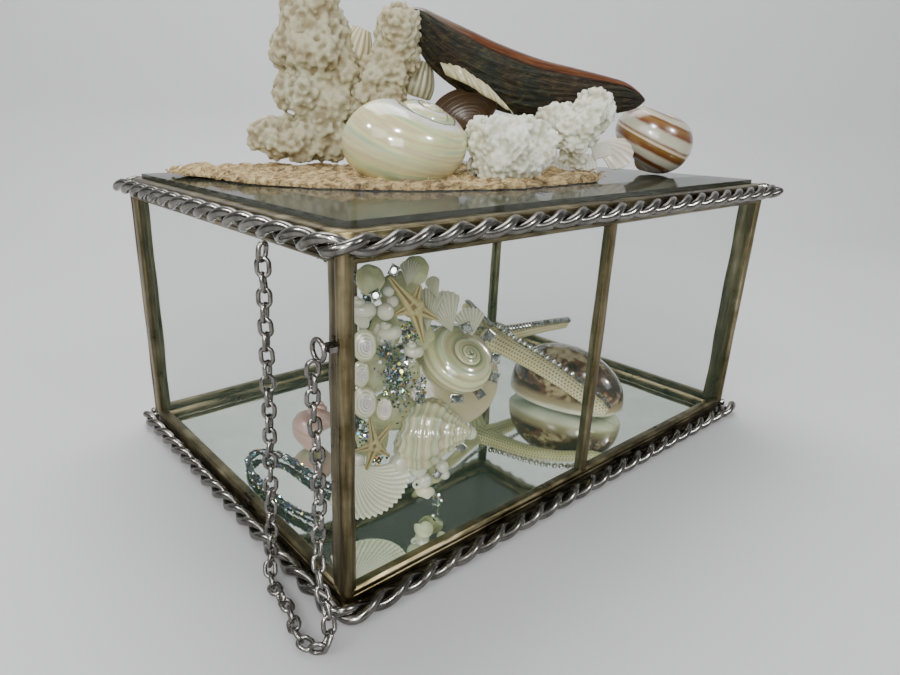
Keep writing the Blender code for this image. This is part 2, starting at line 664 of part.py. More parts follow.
wall_frame()
panes()
base()
rope("base_rope_front", rope_front(ROPE_BASE_Z))
rope("base_rope_back", rope_back(ROPE_BASE_Z))
lid()
rope("lid_rope_front", rope_front(ROPE_LID_Z))
rope("lid_rope_back", rope_back(ROPE_LID_Z))
hinges()
chain()
on_lid()
inside()
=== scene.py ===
"""Looks of the glass box: soldered frame, twisted wire, chain, mirror, shells, coral and star.

Lengths are millimetres until make() turns them into metres. X runs along the long side, the
front faces -Y and the table is z = 0, as in the CAD model.
"""
import math

import bmesh
import bpy
import numpy as np
from mathutils import Matrix, Vector


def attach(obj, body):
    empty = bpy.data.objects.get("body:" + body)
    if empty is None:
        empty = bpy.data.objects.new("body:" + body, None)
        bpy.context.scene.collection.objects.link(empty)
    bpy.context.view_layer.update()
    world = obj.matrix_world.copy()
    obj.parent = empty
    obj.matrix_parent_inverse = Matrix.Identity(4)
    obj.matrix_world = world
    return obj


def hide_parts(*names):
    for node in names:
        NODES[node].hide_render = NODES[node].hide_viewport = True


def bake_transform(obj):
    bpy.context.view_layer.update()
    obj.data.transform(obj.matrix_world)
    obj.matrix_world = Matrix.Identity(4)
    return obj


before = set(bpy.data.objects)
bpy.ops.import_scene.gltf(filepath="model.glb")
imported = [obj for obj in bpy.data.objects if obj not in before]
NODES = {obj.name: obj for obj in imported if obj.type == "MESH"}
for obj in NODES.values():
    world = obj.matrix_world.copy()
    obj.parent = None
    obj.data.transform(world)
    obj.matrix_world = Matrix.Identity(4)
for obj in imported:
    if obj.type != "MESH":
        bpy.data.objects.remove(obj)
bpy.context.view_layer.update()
TAU = 2 * math.pi
MM = 0.001
HX, HY = 99.1, 68.0          # post centres
FLOOR = 3.1                  # top of the mirror
SHELF = 102.2                # top of the lid's glass
GAP = 0.35                   # clearance under what lies on the mirror or the lid

# The camera of the photograph
EYE = np.array((-174.37, -178.83, 122.49))
LENS, SENSOR, SHIFT = 25.453, 36.0, (0.0602, 0.0019)
WIDE_PX, TALL_PX = 900.0, 675.0
FOCAL = LENS / SENSOR * WIDE_PX
AXIS_PX = (WIDE_PX / 2 - SHIFT[0] * WIDE_PX, TALL_PX / 2 + SHIFT[1] * WIDE_PX)


def camera_axes():
    az, el, roll = math.radians(50.9404), math.radians(-19.3343), math.radians(0.9961)
    ahead = np.array((math.cos(el) * math.cos(az), math.cos(el) * math.sin(az), math.sin(el)))
    side = np.array((math.sin(az), -math.cos(az), 0.0))
    up = np.cross(side, ahead)
    right = math.cos(roll) * side + math.sin(roll) * up
    return right, math.cos(roll) * up - math.sin(roll) * side, ahead


RIGHT, UP, AHEAD = camera_axes()


def unit(v):
    v = np.asarray(v, float)
    return v / np.linalg.norm(v)


def units(rows):
    """Each row of an array at length one."""
    return rows / np.linalg.norm(rows, axis=1)[:, None]


def distances(points):
    """How far along a path each of its points lies."""
    return np.concatenate(((0,), np.cumsum(np.linalg.norm(np.diff(points, axis=0), axis=1))))


def spread_over(value, total):
    return np.broadcast_to(np.asarray(value, float), (total,))


def sight(px, py):
    """Direction in which the camera sees a pixel of the photograph."""
    return (AHEAD + RIGHT * ((px - AXIS_PX[0]) / FOCAL) - UP * ((py - AXIS_PX[1]) / FOCAL))


def on_plane(px, py, point, normal):
    """Where the sight line through a pixel meets a plane."""
    way = sight(px, py)
    normal = np.asarray(normal, float)
    return EYE + way * (np.dot(np.asarray(point) - EYE, normal) / np.dot(way, normal))


LEVEL = unit((AHEAD[0], AHEAD[1], 0.0))      # level view direction


def facing(point):
    """Places pixels on the upright plane through a point that faces the camera."""
    point = np.asarray(point, float)

    def put(px, py, back=0.0):
        return on_plane(px, py, point + LEVEL * back, LEVEL)
    return put


class Mesh:
    """Collects points and faces, with two numbers per point that the materials read."""

    def __init__(self):
        self.verts, self.faces, self.shade, self.tone = [], [], [], []
        self.count = 0

    def add(self, verts, faces, shade=0.5, tone=0.5):
        verts = np.asarray(verts, float).reshape(-1, 3)
        total = len(verts)
        self.verts.append(verts)
        self.faces.append((np.asarray(faces, int) + self.count).tolist())
        self.shade.append(spread_over(shade, total))
        self.tone.append(spread_over(tone, total))
        self.count += total

    def close(self, base, rows, cols, outward=True):
        """Closes both ends of the grid of points that starts at base."""
        first = list(range(base, base + cols))
        last = list(range(base + (rows - 1) * cols, base + rows * cols))
        self.faces.append([first[::-1], last] if outward else [first, last[::-1]])

    def lowest(self):
        return min(part[:, 2].min() for part in self.verts)

    def keep_above(self, level):
        for part in self.verts:
            part[:, 2] = np.maximum(part[:, 2], level)


def make(name, mesh, look, body="box", stands_for=(), smooth=True, sharp=None):
    """Turns a collected mesh into an object that rides a body and stands for CAD nodes.

    A piece with no body is left without one.
    """
    data = bpy.data.meshes.new(name)
    points = np.concatenate(mesh.verts) * MM
    data.from_pydata(points.tolist(), [], [f for part in mesh.faces for f in part])
    for label, parts in (("shade", mesh.shade), ("tone", mesh.tone)):
        layer = data.attributes.new(label, "FLOAT", "POINT")
        layer.data.foreach_set("value", np.concatenate(parts).astype(np.float32))
    if smooth:
        data.polygons.foreach_set("use_smooth", [True] * len(data.polygons))
        if sharp:
            data.set_sharp_from_angle(angle=math.radians(sharp))
    ob = bpy.data.objects.new(name, data)
    bpy.context.scene.collection.objects.link(ob)
    data.materials.append(look)
    if stands_for:
        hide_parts(*stands_for)
    if body:
        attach(ob, body)
    return ob


def quads(rows, cols, wrap_rows=False, wrap_cols=True):
    """Faces of a grid of points, row by row."""
    last_row = rows if wrap_rows else rows - 1
    last_col = cols if wrap_cols else cols - 1
    i, j = np.meshgrid(np.arange(last_row), np.arange(last_col), indexing="ij")
    i, j = i.ravel(), j.ravel()
    a, b = i * cols + j, i * cols + (j + 1) % cols
    c, d = ((i + 1) % rows) * cols + (j + 1) % cols, ((i + 1) % rows) * cols + j
    return np.stack((a, b, c, d), axis=1)


def carry(path, closed=False, first=None):
    """Tangent and two sides for each point of a path, with no needless twist."""
    path = np.asarray(path, float)
    if closed:
        along = np.roll(path, -1, 0) - np.roll(path, 1, 0)
    else:
        along = np.gradient(path, axis=0)
    along = units(along)
    start = np.array((0.0, 0.0, 1.0)) if first is None else np.asarray(first, float)
    if abs(np.dot(start, along[0])) > 0.95:
        start = np.array((1.0, 0.0, 0.0))
    up = np.zeros_like(path)
    for i in range(len(path)):
        before = start if i == 0 else up[i - 1]
        here = before - along[i] * np.dot(before, along[i])
        up[i] = here / np.linalg.norm(here)
    side = np.cross(along, up)
    if closed:
        again = up[-1] - along[0] * np.dot(up[-1], along[0])
        slip = math.atan2(np.dot(again, side[0]), np.dot(again, up[0]))
        turn = -slip * np.arange(len(path)) / len(path)
        c, s = np.cos(turn)[:, None], np.sin(turn)[:, None]
        up, side = up * c + side * s, side * c - up * s
    return along, up, side


def tube(mesh, path, radius, sides, closed=False, shade=0.5, tone=None, first=None):
    """A round bar along a path, with rounded ends where it is open."""
    path = np.asarray(path, float)
    radius = spread_over(radius, len(path)).copy()
    along, up, side = carry(path, closed, first)
    if not closed:
        for end, way in ((0, -1.0), (-1, 1.0)):
            tip, r = path[end], radius[end]
            cap = [tip + along[end] * way * r * d for d in (0.45, 0.62)]
            fit = [r * 0.80, r * 0.30]
            if end == 0:
                path = np.vstack((cap[::-1], path))
                radius = np.concatenate((fit[::-1], radius))
                along, up, side = (np.vstack((m[:1], m[:1], m)) for m in (along, up, side))
            else:
                path = np.vstack((path, cap))
                radius = np.concatenate((radius, fit))
                along, up, side = (np.vstack((m, m[-1:], m[-1:])) for m in (along, up, side))
    turn = TAU * np.arange(sides) / sides
    ring = (up[:, None, :] * np.cos(turn)[None, :, None]
            + side[:, None, :] * np.sin(turn)[None, :, None])
    verts = path[:, None, :] + ring * radius[:, None, None]
    rows = len(path)
    base = mesh.count
    if tone is None:
        tone = np.repeat(np.linspace(0, 1, rows), sides)
    mesh.add(verts, quads(rows, sides, wrap_rows=closed), shade, tone)
    if not closed:
        mesh.close(base, rows, sides)


def basis(axis, roll=0.0):
    """Three rows: two sides and the axis itself."""
    axis = unit(axis)
    helper = np.array((0, 0, 1.0)) if abs(axis[2]) < 0.9 else np.array((1.0, 0, 0))
    one = unit(np.cross(helper, axis))
    two = np.cross(axis, one)
    c, s = math.cos(roll), math.sin(roll)
    return np.array((one * c + two * s, two * c - one * s, axis))


def settle(mesh, left, right, top, bottom, rest=None):
    """Scales and moves a mesh so that the camera sees its outline between these pixels.

    rest is the height that its lowest point then comes down to.
    """
    points = np.concatenate(mesh.verts)
    middle = (points.max(axis=0) + points.min(axis=0)) / 2

    def seen(spots):
        deep = (spots - EYE) @ AHEAD
        return (AXIS_PX[0] + FOCAL * ((spots - EYE) @ RIGHT) / deep,
                AXIS_PX[1] - FOCAL * ((spots - EYE) @ UP) / deep, deep.mean() / FOCAL)
    x, y, _ = seen(points)
    grow = ((right - left) / np.ptp(x) + (bottom - top) / np.ptp(y)) / 2
    mesh.verts = [middle + (part - middle) * grow for part in mesh.verts]
    x, y, reach = seen(np.concatenate(mesh.verts))
    move = (RIGHT * ((left + right) / 2 - (x.min() + x.max()) / 2)
            - UP * ((top + bottom) / 2 - (y.min() + y.max()) / 2)) * reach
    if rest is not None:
        move[2] = rest - mesh.lowest()
    mesh.verts = [part + move for part in mesh.verts]


def melted(mesh, voxel, rounds):
    """One skin round everything in a mesh, with overlapping forms melted together."""
    data = bpy.data.meshes.new("melting")
    faces = [f for part in mesh.faces for f in part]
    data.from_pydata(np.concatenate(mesh.verts).tolist(), [], faces)
    ob = bpy.data.objects.new("melting", data)
    bpy.context.scene.collection.objects.link(ob)
    skin = ob.modifiers.new("skin", "REMESH")
    skin.mode = "VOXEL"
    skin.voxel_size = voxel
    soft = ob.modifiers.new("soft", "SMOOTH")
    soft.factor = 0.5
    soft.iterations = rounds
    done = ob.evaluated_get(bpy.context.evaluated_depsgraph_get()).to_mesh()
    verts = np.array([v.co[:] for v in done.vertices])
    faces = [list(f.vertices) for f in done.polygons]
    bpy.data.objects.remove(ob)
    out = Mesh()
    out.verts.append(verts)
    out.faces.append(faces)
    out.count = len(verts)
    return out


BALLS = {}


def ball(level):
    """Points and faces of a unit ball made of triangles."""
    if level not in BALLS:
        bm = bmesh.new()
        bmesh.ops.create_icosphere(bm, subdivisions=level, radius=1.0)
        verts = np.array([v.co[:] for v in bm.verts])
        faces = np.array([[v.index for v in f.verts] for f in bm.faces])
        bm.free()
        BALLS[level] = (verts, faces)
    return BALLS[level]


def balls(mesh, centres, radii, level, axes=None, stretch=1.0, shade=0.5, tone=0.5):
    """Many balls at once, each drawn out along its own axis."""
    verts, faces = ball(level)
    centres = np.asarray(centres, float).reshape(-1, 3)
    radii = spread_over(radii, len(centres))
    for i, centre in enumerate(centres):
        if axes is None:
            here = verts * radii[i]
        else:
            here = (verts * (1.0, 1.0, stretch)) @ basis(axes[i]) * radii[i]
        mesh.add(here + centre, faces, shade, tone)


def curve(points, step, closed=False):
    """Even points on a smooth curve through the given ones."""
    points = np.asarray(points, float)
    n = len(points)
    out = []
    for i in range(n if closed else n - 1):
        if closed:
            p0, p1, p2, p3 = (points[(i + k) % n] for k in (-1, 0, 1, 2))
        else:
            p0, p1 = points[max(i - 1, 0)], points[i]
            p2, p3 = points[i + 1], points[min(i + 2, n - 1)]
        for t in np.linspace(0, 1, 24, endpoint=False):
            out.append(0.5 * (2 * p1 + (p2 - p0) * t + (2 * p0 - 5 * p1 + 4 * p2 - p3) * t * t
                              + (3 * p1 - p0 - 3 * p2 + p3) * t ** 3))
    out.append(points[0] if closed else points[-1])
    return even(out, step, closed)


def even(points, step, closed=False):
    """Points at even distances along a path of straight pieces."""
    points = np.asarray(points, float)
    run = distances(points)
    count = max(2, int(round(run[-1] / step)))
    want = np.linspace(0, run[-1], count + 1)
    out = np.stack([np.interp(want, run, points[:, k]) for k in range(3)], axis=1)
    return out[:-1] if closed else out


# Materials
class Look:
    """A short way to wire a node material."""

    def __init__(self, name, rough=0.5, metal=0.0, colour=(0.5, 0.5, 0.5)):
        self.mat = bpy.data.materials.new(name)
        self.mat.use_nodes = True
        self.tree = self.mat.node_tree
        self.shader = self.tree.nodes["Principled BSDF"]
        self.put(self.shader, "Roughness", rough)
        self.put(self.shader, "Metallic", metal)
        self.put(self.shader, "Base Color", (*colour, 1.0))

    def put(self, node, socket, value):
        spot = node.inputs[socket]
        if isinstance(value, bpy.types.NodeSocket):
            self.tree.links.new(value, spot)
        else:
            spot.default_value = value

    def set(self, **values):
        for key, value in values.items():
            self.put(self.shader, key.replace("_", " ").title().replace("Ior", "IOR"), value)
        return self

    def node(self, kind, out=0, props=(), **inputs):
        made = self.tree.nodes.new("ShaderNode" + kind)
        for key, value in dict(props).items():
            setattr(made, key, value)
        for key, value in inputs.items():
            self.put(made, key, value)
        return made.outputs[out]

    def where(self, scale=(1, 1, 1), turn=(0, 0, 0)):
        spot = self.node("TexCoord", "Object")
        if tuple(scale) == (1, 1, 1) and tuple(turn) == (0, 0, 0):
            return spot
        return self.node("Mapping", Vector=spot, Scale=scale,
                         Rotation=tuple(math.radians(a) for a in turn))

    def noise(self, scale, detail, rough, at=None, warp=0.0):
        return self.node("TexNoise", 0, Vector=at or self.where(), Scale=scale, Detail=detail,
                         Roughness=rough, Distortion=warp)

    def cells(self, scale, at=None):
        return self.node("TexVoronoi", Vector=at or self.where(), Scale=scale)

    def attr(self, name):
        return self.node("Attribute", "Fac", {"attribute_name": name})

    def ramp(self, fac, *stops, hold=False):
        made = self.tree.nodes.new("ShaderNodeValToRGB")
        bar = made.color_ramp
        if hold:
            bar.interpolation = "CONSTANT"
        while len(bar.elements) < len(stops):
            bar.elements.new(0.5)
        for spot, (place, colour) in zip(bar.elements, stops):
            spot.position = place
            grey = isinstance(colour, (int, float))
            spot.color = (colour, colour, colour, 1.0) if grey else (*colour, 1.0)
        self.put(made, "Fac", fac)
        return made.outputs["Color"]

    def mix(self, fac, one, two, how="MIX"):
        made = self.tree.nodes.new("ShaderNodeMix")
        made.data_type = "RGBA"
        made.blend_type = how
        self.put(made, 0, fac)
        for spot, value in ((6, one), (7, two)):
            self.put(made, spot, (*value, 1.0) if isinstance(value, tuple) and len(value) == 3
                     else value)
        return made.outputs[2]

    def math(self, how, one, two=0.0):
        made = self.tree.nodes.new("ShaderNodeMath")
        made.operation = how
        self.put(made, 0, one)
        self.put(made, 1, two)
        return made.outputs[0]

    def span(self, value, low, high, to_low=0.0, to_high=1.0):
        return self.node("MapRange", 0, **{"Value": value, "From Min": low, "From Max": high,
                                           "To Min": to_low, "To Max": to_high})

    def colour(self, value):
        self.put(self.shader, "Base Color", value)
        return self

    def suture(self):
        """A white band, the shell's own colour, and a thin dark line of painted shade in the crease where
        one turn of a shell meets the next.
        """
        before = self.shader.inputs["Base Color"].links[0].from_socket
        ragged = self.math("MULTIPLY", self.math("SUBTRACT", self.noise(300.0, 3, 0.6), 0.5), 0.04)
        place = self.math("ADD", self.attr("tone"), ragged)
        amount = self.ramp(place, (0.165, 0.0), (0.196, 0.92), (0.228, 0.95), (0.234, 0.0))
        # the thin dark line is painted shade in the crease between the turns
        line = self.ramp(place, (0.224, 0.0), (0.232, 1.0), (0.246, 0.0))
        white = self.mix(amount, before, (0.82, 0.82, 0.78))
        self.colour(self.mix(line, white, (0.12, 0.13, 0.12)))

    def groove_shade(self, count, depth):
        """Painted shade: darker lines along the winding between the cords, and a dark seam where two
        turns meet.
        """
        before = self.shader.inputs["Base Color"].links[0].from_socket
        wave = self.math("COSINE", self.math("MULTIPLY", self.attr("tone"), count * TAU))
        lines = self.span(wave, -1.0, 0.2, 1.0 - depth, 1.0)
        seam = self.ramp(self.attr("tone"), (0.215, 1.0), (0.262, 0.34), (0.40, 0.34), (0.48, 1.0))
        grey = self.math("MULTIPLY", lines, seam)
        lines = self.node("CombineColor", Red=grey, Green=grey, Blue=grey)
        self.colour(self.mix(1.0, before, lines, "MULTIPLY"))

    def rough(self, value):
        self.put(self.shader, "Roughness", value)
        return self

    def bump(self, height, strength, distance):
        made = self.tree.nodes.new("ShaderNodeBump")
        self.put(made, "Strength", strength)
        self.put(made, "Distance", distance)
        self.put(made, "Height", height)
        before = self.shader.inputs["Normal"]
        if before.is_linked:
            self.tree.links.new(before.links[0].from_socket, made.inputs["Normal"])
        self.tree.links.new(made.outputs["Normal"], before)
        return self


def wire_look(name, dark, light, rough, scale=260.0):
    """Tinned wire: dull brown-grey with cleaner, brighter patches and fine scratches."""
    look = Look(name, rough, 1.0)
    patch = look.noise(scale, 5, 0.6)
    tint = look.ramp(patch, (0.30, dark), (0.62, light), (0.75, tuple(c * 1.25 for c in light)))
    # the shade attribute mixes in a brighter tint: a painted highlight meant for the crests; each wire
    # part gives it one even value, so the part is lightened evenly
    crest_highlight = look.attr("shade")
    look.colour(look.mix(look.math("MULTIPLY", crest_highlight, 0.35), tint, tuple(c * 1.5 for c in light)))
    look.rough(look.span(look.noise(scale * 2.2, 4, 0.6), 0.3, 0.75, rough * 0.75, rough * 1.5))
    look.bump(look.noise(scale * 4, 3, 0.6), 0.18, 0.00008)
    return look.mat


def came_look(name, stretch):
    """Soldered lead came: gold-brown and grey streaks drawn out along the bar."""
    look = Look(name, 0.34, 1.0)
    streak = look.noise(420.0, 5, 0.6, look.where(stretch))
    blotch = look.noise(110.0, 4, 0.6)
    tint = look.ramp(streak, (0.30, (0.055, 0.047, 0.028)), (0.48, (0.155, 0.133, 0.078)),
                     (0.62, (0.27, 0.24, 0.155)), (0.80, (0.44, 0.42, 0.34)))
    dull = look.ramp(blotch, (0.35, (0.50, 0.455, 0.35)), (0.65, (0.95, 0.92, 0.84)))
    base = look.mix(1.0, tint, dull, "MULTIPLY")
    # shade below 0.5 darkens the came towards near black: painted shade, which the tray's groove gets
    groove = look.span(look.attr("shade"), 0.0, 0.5, 0.0, 1.0)
    look.colour(look.mix(groove, (0.018, 0.016, 0.013), base))
    look.rough(look.span(blotch, 0.3, 0.7, 0.24, 0.46))
    look.bump(streak, 0.30, 0.00012)
    look.bump(look.noise(900.0, 4, 0.6), 0.15, 0.00006)
    return look.mat


def glass_look(name, colour, alpha, rough=0.03):
    look = Look(name, rough, 0.0, colour)
    look.set(alpha=alpha, ior=1.5)
    haze = look.noise(38.0, 5, 0.65)
    smear = look.ramp(haze, (0.35, tuple(c * 0.92 for c in colour)), (0.75, colour))
    look.colour(smear)
    look.mat.surface_render_method = "BLENDED"
    return look


# The soldered frame
PEWTER = wire_look("twisted_wire", (0.055, 0.050, 0.042), (0.20, 0.19, 0.17), 0.20)
STEEL = wire_look("chain_wire", (0.06, 0.056, 0.05), (0.20, 0.19, 0.175), 0.22, 400.0)
CAME_UP = came_look("came_upright", (1.0, 1.0, 0.07))
CAME_X = came_look("came_along", (0.16, 0.16, 0.8))
WIRE_R, WIRE_ORBIT, WIRE_TURN = 1.36, 1.34, 18.8
ROPE_STEP = 0.8


def corner(cx, cy, radius, start, end, z):
    angles = np.radians(np.linspace(start, end, 10))
    return [(cx + radius * math.cos(a), cy + radius * math.sin(a), z) for a in angles]


def rope_path(front, z):
    """Centre line of a run of twisted wire; the front one ends in a bend past the far corner."""
    out, bend = 4.55, 5.5
    if front:
        points = [(-HX - out, HY + 3.0, z)]
        points += corner(-HX - out + bend, -HY - out + bend, bend, 180, 270, z)
        points += [(HX + 5.2, -HY - out, z)]
    else:
        points = [(-HX - 1.2, HY + out, z)]
        points += corner(HX + out - bend, HY + out - bend, bend, 90, 0, z)
        points += [(HX + out, -HY - 1.2, z)]
    return even(points, ROPE_STEP)


def rope(name, front, z, phase, node, body):
    """Two wires laid round each other; the front run is one wire folded back on itself."""
    path = rope_path(front, z)
    # the wires are laid by hand, so the lay opens and closes a little and the run wavers
    run = np.arange(len(path)) * ROPE_STEP
    along = units(np.gradient(path, axis=0))
    up = np.tile((0.0, 0.0, 1.0), (len(path), 1))
    side = np.cross(along, up)
    wave = 0.10 * np.sin(run / 31.0 + phase) + 0.06 * np.sin(run / 13.0 + 2 * phase)
    path = path + side * wave[:, None] * 0.5 + up * wave[:, None]
    turn = -TAU * run / WIRE_TURN + phase + 0.16 * np.sin(run / 23.0 + phase)
    strands = []
    for k in (0.0, math.pi):
        c, s = np.cos(turn + k)[:, None], np.sin(turn + k)[:, None]
        strands.append(path + (up * c + side * s) * WIRE_ORBIT)
    mesh = Mesh()
    if front:
        out = strands[0][-1] - path[-1]
        loop = [path[-1] + out * math.cos(t) + along[-1] * WIRE_ORBIT * 1.25 * math.sin(t)
                for t in np.linspace(0, math.pi, 9)[1:-1]]
        tube(mesh, np.vstack((strands[0], loop, strands[1][::-1])), WIRE_R, 12, shade=0.4)
    else:
        for strand in strands:
            tube(mesh, strand, WIRE_R, 12, shade=0.4)
    make(name, mesh, PEWTER, body, (node,))


def section(parts, steps=6):
    """A closed outline from corner points, each with a rounding radius: (out, z, radius)."""
    out = []
    count = len(parts)
    for i, (x, z, r) in enumerate(parts):
        here = np.array((x, z))
        before = np.array(parts[i - 1][:2]) - here
        after = np.array(parts[(i + 1) % count][:2]) - here
        if r <= 0:
            out.append(here)
            continue
        before /= np.linalg.norm(before)
        after /= np.linalg.norm(after)
        half = math.acos(max(-1, min(1, float(np.dot(before, after))))) / 2
        reach = r / math.tan(half)
        centre = here + (before + after) / np.linalg.norm(before + after) * r / math.sin(half)
        one, two = here + before * reach - centre, here + after * reach - centre
        a0, a1 = math.atan2(one[1], one[0]), math.atan2(two[1], two[0])
        step = (a1 - a0 + math.pi) % TAU - math.pi
        for t in np.linspace(0, 1, steps):
            a = a0 + step * t
            out.append(centre + r * np.array((math.cos(a), math.sin(a))))
    return np.array(out)


def around(mesh, outline, radius, seed, wobble=0.05, shade=0.6):
    """Sweeps an outline (distance outside the post centres, height) round the box."""
    track = []
    for cx, cy, a0 in ((1, 1, 0), (-1, 1, 90), (-1, -1, 180), (1, -1, 270)):
        for a in np.radians(np.linspace(a0, a0 + 90, 8)):
            track.append((cx * (HX - radius) + radius * math.cos(a),
                          cy * (HY - radius) + radius * math.sin(a),
                          math.cos(a), math.sin(a)))
    fine = []
    for i in range(len(track)):
        one, two = np.array(track[i]), np.array(track[(i + 1) % len(track)])
        gap = np.linalg.norm(two[:2] - one[:2])
        pieces = max(1, int(gap / 3.0))
        for t in np.arange(pieces) / pieces:
            fine.append(one * (1 - t) + two * t)
    fine = np.array(fine)
    rng = np.random.default_rng(seed)
    rows, cols = len(fine), len(outline)
    phase = rng.uniform(0, TAU, (3,))
    run = np.cumsum(np.linalg.norm(np.diff(fine[:, :2], axis=0, append=fine[:1, :2]), axis=1))
    sway = sum(np.sin(run[:, None] / w + phase[k] + np.arange(cols)[None, :] * 0.7)
               for k, w in enumerate((5.0, 9.0, 17.0))) * wobble / 2
    verts = np.zeros((rows, cols, 3))
    out = outline[None, :, 0] + sway
    verts[:, :, 0] = fine[:, None, 0] + fine[:, None, 2] * out
    verts[:, :, 1] = fine[:, None, 1] + fine[:, None, 3] * out
    verts[:, :, 2] = outline[None, :, 1]
    mesh.add(verts, quads(rows, cols, wrap_rows=True), np.tile(spread_over(shade, cols), rows))


def upright(mesh, outline, x, y, low, high, shade=0.6, step=2.5, seed=0):
    """Raises a closed outline in plan into a post."""
    levels = np.linspace(low, high, max(3, int((high - low) / step)))
    rows, cols = len(levels), len(outline)
    rng = np.random.default_rng(seed)
    phase = rng.uniform(0, TAU, 3)
    sway = sum(np.sin(levels / w + phase[k]) for k, w in enumerate((4.0, 7.5, 15.0))) * 0.04
    verts = np.zeros((rows, cols, 3))
    verts[:, :, 0] = x + outline[None, :, 0] * (1 + sway[:, None] * 0.5)
    verts[:, :, 1] = y + outline[None, :, 1] * (1 + sway[:, None] * 0.5)
    verts[:, :, 2] = levels[:, None]
    base = mesh.count
    mesh.add(verts, quads(rows, cols), shade)
    mesh.close(base, rows, cols)


def disc(radius):
    a = TAU * np.arange(20) / 20
    return np.stack((np.cos(a), np.sin(a)), axis=1) * radius


def fillet(mesh, centre, radii, seed):
    """A lump of solder: a ball that has slumped a little."""
    verts, faces = ball(3)
    rng = np.random.default_rng(seed)
    bumps = sum(np.sin(verts @ rng.normal(0, 3.0, 3) + rng.uniform(0, TAU)) for _ in range(4))
    mesh.add(verts * (1 + 0.05 * bumps[:, None]) * radii + centre, faces, 0.8)


def build_frame():
    rails, posts = Mesh(), Mesh()
    # lower rail of the walls: a rounded channel with a fine groove above the tray
    low = section([(1.65, 5.62, 0.4), (1.85, 7.0, 0.6), (1.1, 7.75, 0.3), (-1.1, 7.75, 0.3),
                   (-1.65, 7.0, 0.5), (-1.65, 5.62, 0.3)])
    around(rails, low, 2.0, seed=1)
    high = section([(1.85, 92.9, 0.5), (1.85, 95.0, 0.5), (1.5, 95.55, 0.2), (-1.5, 95.55, 0.2),
                    (-1.7, 92.9, 0.5), (-1.0, 92.3, 0.2), (1.0, 92.3, 0.3)])
    around(rails, high, 2.0, seed=2)
    ridge = section([(1.95, 93.2, 0.25), (2.1, 93.7, 0.25), (1.95, 94.1, 0.2),
                     (1.4, 93.7, 0.0)], 4)
    around(rails, ridge, 2.0, seed=3, wobble=0.08)
    for sx, sy in ((-1, -1), (1, -1), (-1, 1), (1, 1)):
        x, y = sx * HX, sy * HY
        number = 10 + sx + 3 * sy
        # the far corner is seen thinner in the photograph
        far = 0.66 if sx > 0 and sy > 0 else 1.0
        upright(posts, disc(1.95) * far, x, y, 5.8, 95.4, seed=number)
        side = 4.5 if sy < 0 else 5.2
        if sx > 0 and sy < 0:
            side = 5.6
        for half, depth, tone in ((1.55, side, 0.45), (1.75, side - 0.7, 0.7)):
            shape = section([(half, -0.2, 0.2), (half, depth, 0.55), (-half, depth, 0.55),
                             (-half, -0.2, 0.2)], 4)
            shape = shape * (1, -sy)
            upright(posts, (shape if sy < 0 else shape[::-1]) * far, x, y, 6.5, 94.5, tone,
                    seed=number + 1)
        front = 1.9 if sy < 0 else 4.0
        shape = section([(-0.2, 1.5, 0.2), (front, 1.5, 0.5), (front, -1.5, 0.5), (-0.2, -1.5, 0.2)],
                        4) * (-sx, 1)
        upright(posts, shape * far, x, y, 6.5, 94.5, seed=number + 2)
        rng = np.random.default_rng(number)
        for z, size in ((94.0, 1.0), (6.6, 0.9)):
            fillet(posts, (x - sx * 0.3, y - sy * 0.3, z),
                   (2.25 * size, 2.25 * size, 1.9 * size), number)
            fillet(posts, (x + sx * 0.15, y - sy * 2.6, z + (0.4 if z > 50 else -0.2)),
                   (1.75, 2.4, 1.3 + 0.3 * rng.random()), number + 5)
    for y in (-HY, HY):
        for half, wide in ((1.75, 1.35), (1.35, 1.75)):
            shape = section([(-wide, -half, 0.5), (wide, -half, 0.5), (wide, half, 0.5),
                             (-wide, half, 0.5)], 5)
            thin = (0.62, 0.8) if y > 0 else (1.0, 1.0)
            upright(posts, shape * thin, -0.5, y, 6.2, 94.8, seed=31 + int(y > 0))
        for z in (94.0, 6.8):
            fillet(posts, (-0.5, y, z), (2.4, 1.9, 1.2), 40 + int(y > 0))
    make("rails", rails, CAME_X, "box", ("wall_frame",), sharp=40)
    make("posts", posts, CAME_UP, "box", ("wall_frame",), sharp=40)

    tray = Mesh()
    body = section([(1.25, 0.45, 0.3), (1.3, 1.9, 0.2), (0.9, 2.3, 0.1), (0.9, 2.7, 0.1),
                    (1.35, 3.0, 0.3), (1.35, 5.0, 0.35), (0.8, 5.35, 0.1), (-2.0, 5.25, 0.4),
                    (-3.9, 4.2, 0.5), (-3.9, 3.2, 0.2), (-2.2, 3.15, 0.0), (-2.2, 1.25, 0.0),
                    (-3.7, 1.2, 0.2), (-3.7, 0.45, 0.2)], 4)
    # the groove above the tray's foot gets shade 0.05, so it is painted near black: painted shade
    shade = np.where((body[:, 1] > 2.15) & (body[:, 1] < 2.85) & (body[:, 0] > 0.7), 0.05, 0.6)
    around(tray, body, 2.0, seed=4, wobble=0.03, shade=shade)
    make("tray", tray, CAME_X, "box", ("base_tray",), sharp=40)

    lid = Mesh()
    body = section([(1.6, 95.95, 0.3), (1.85, 97.4, 0.5), (1.75, 99.2, 0.5), (0.6, 99.65, 0.3),
                    (-1.75, 99.55, 0.2), (-1.8, 97.95, 0.0), (-6.0, 97.85, 0.2), (-6.0, 96.3, 0.5),
                    (-1.6, 95.95, 0.3)], 4)
    around(lid, body, 5.0, seed=5, wobble=0.04)
    make("lid_rail", lid, CAME_X, "lid", ("lid_frame",), sharp=40)
    rope("rope_base_front", True, 2.92, 0.4, "base_rope_front", "box")
    rope("rope_base_back", False, 2.92, 1.9, "base_rope_back", "box")
    rope("rope_lid_front", True, 97.0, 2.2, "lid_rope_front", "lid")
    rope("rope_lid_back", False, 97.0, 0.9, "lid_rope_back", "lid")


build_frame()

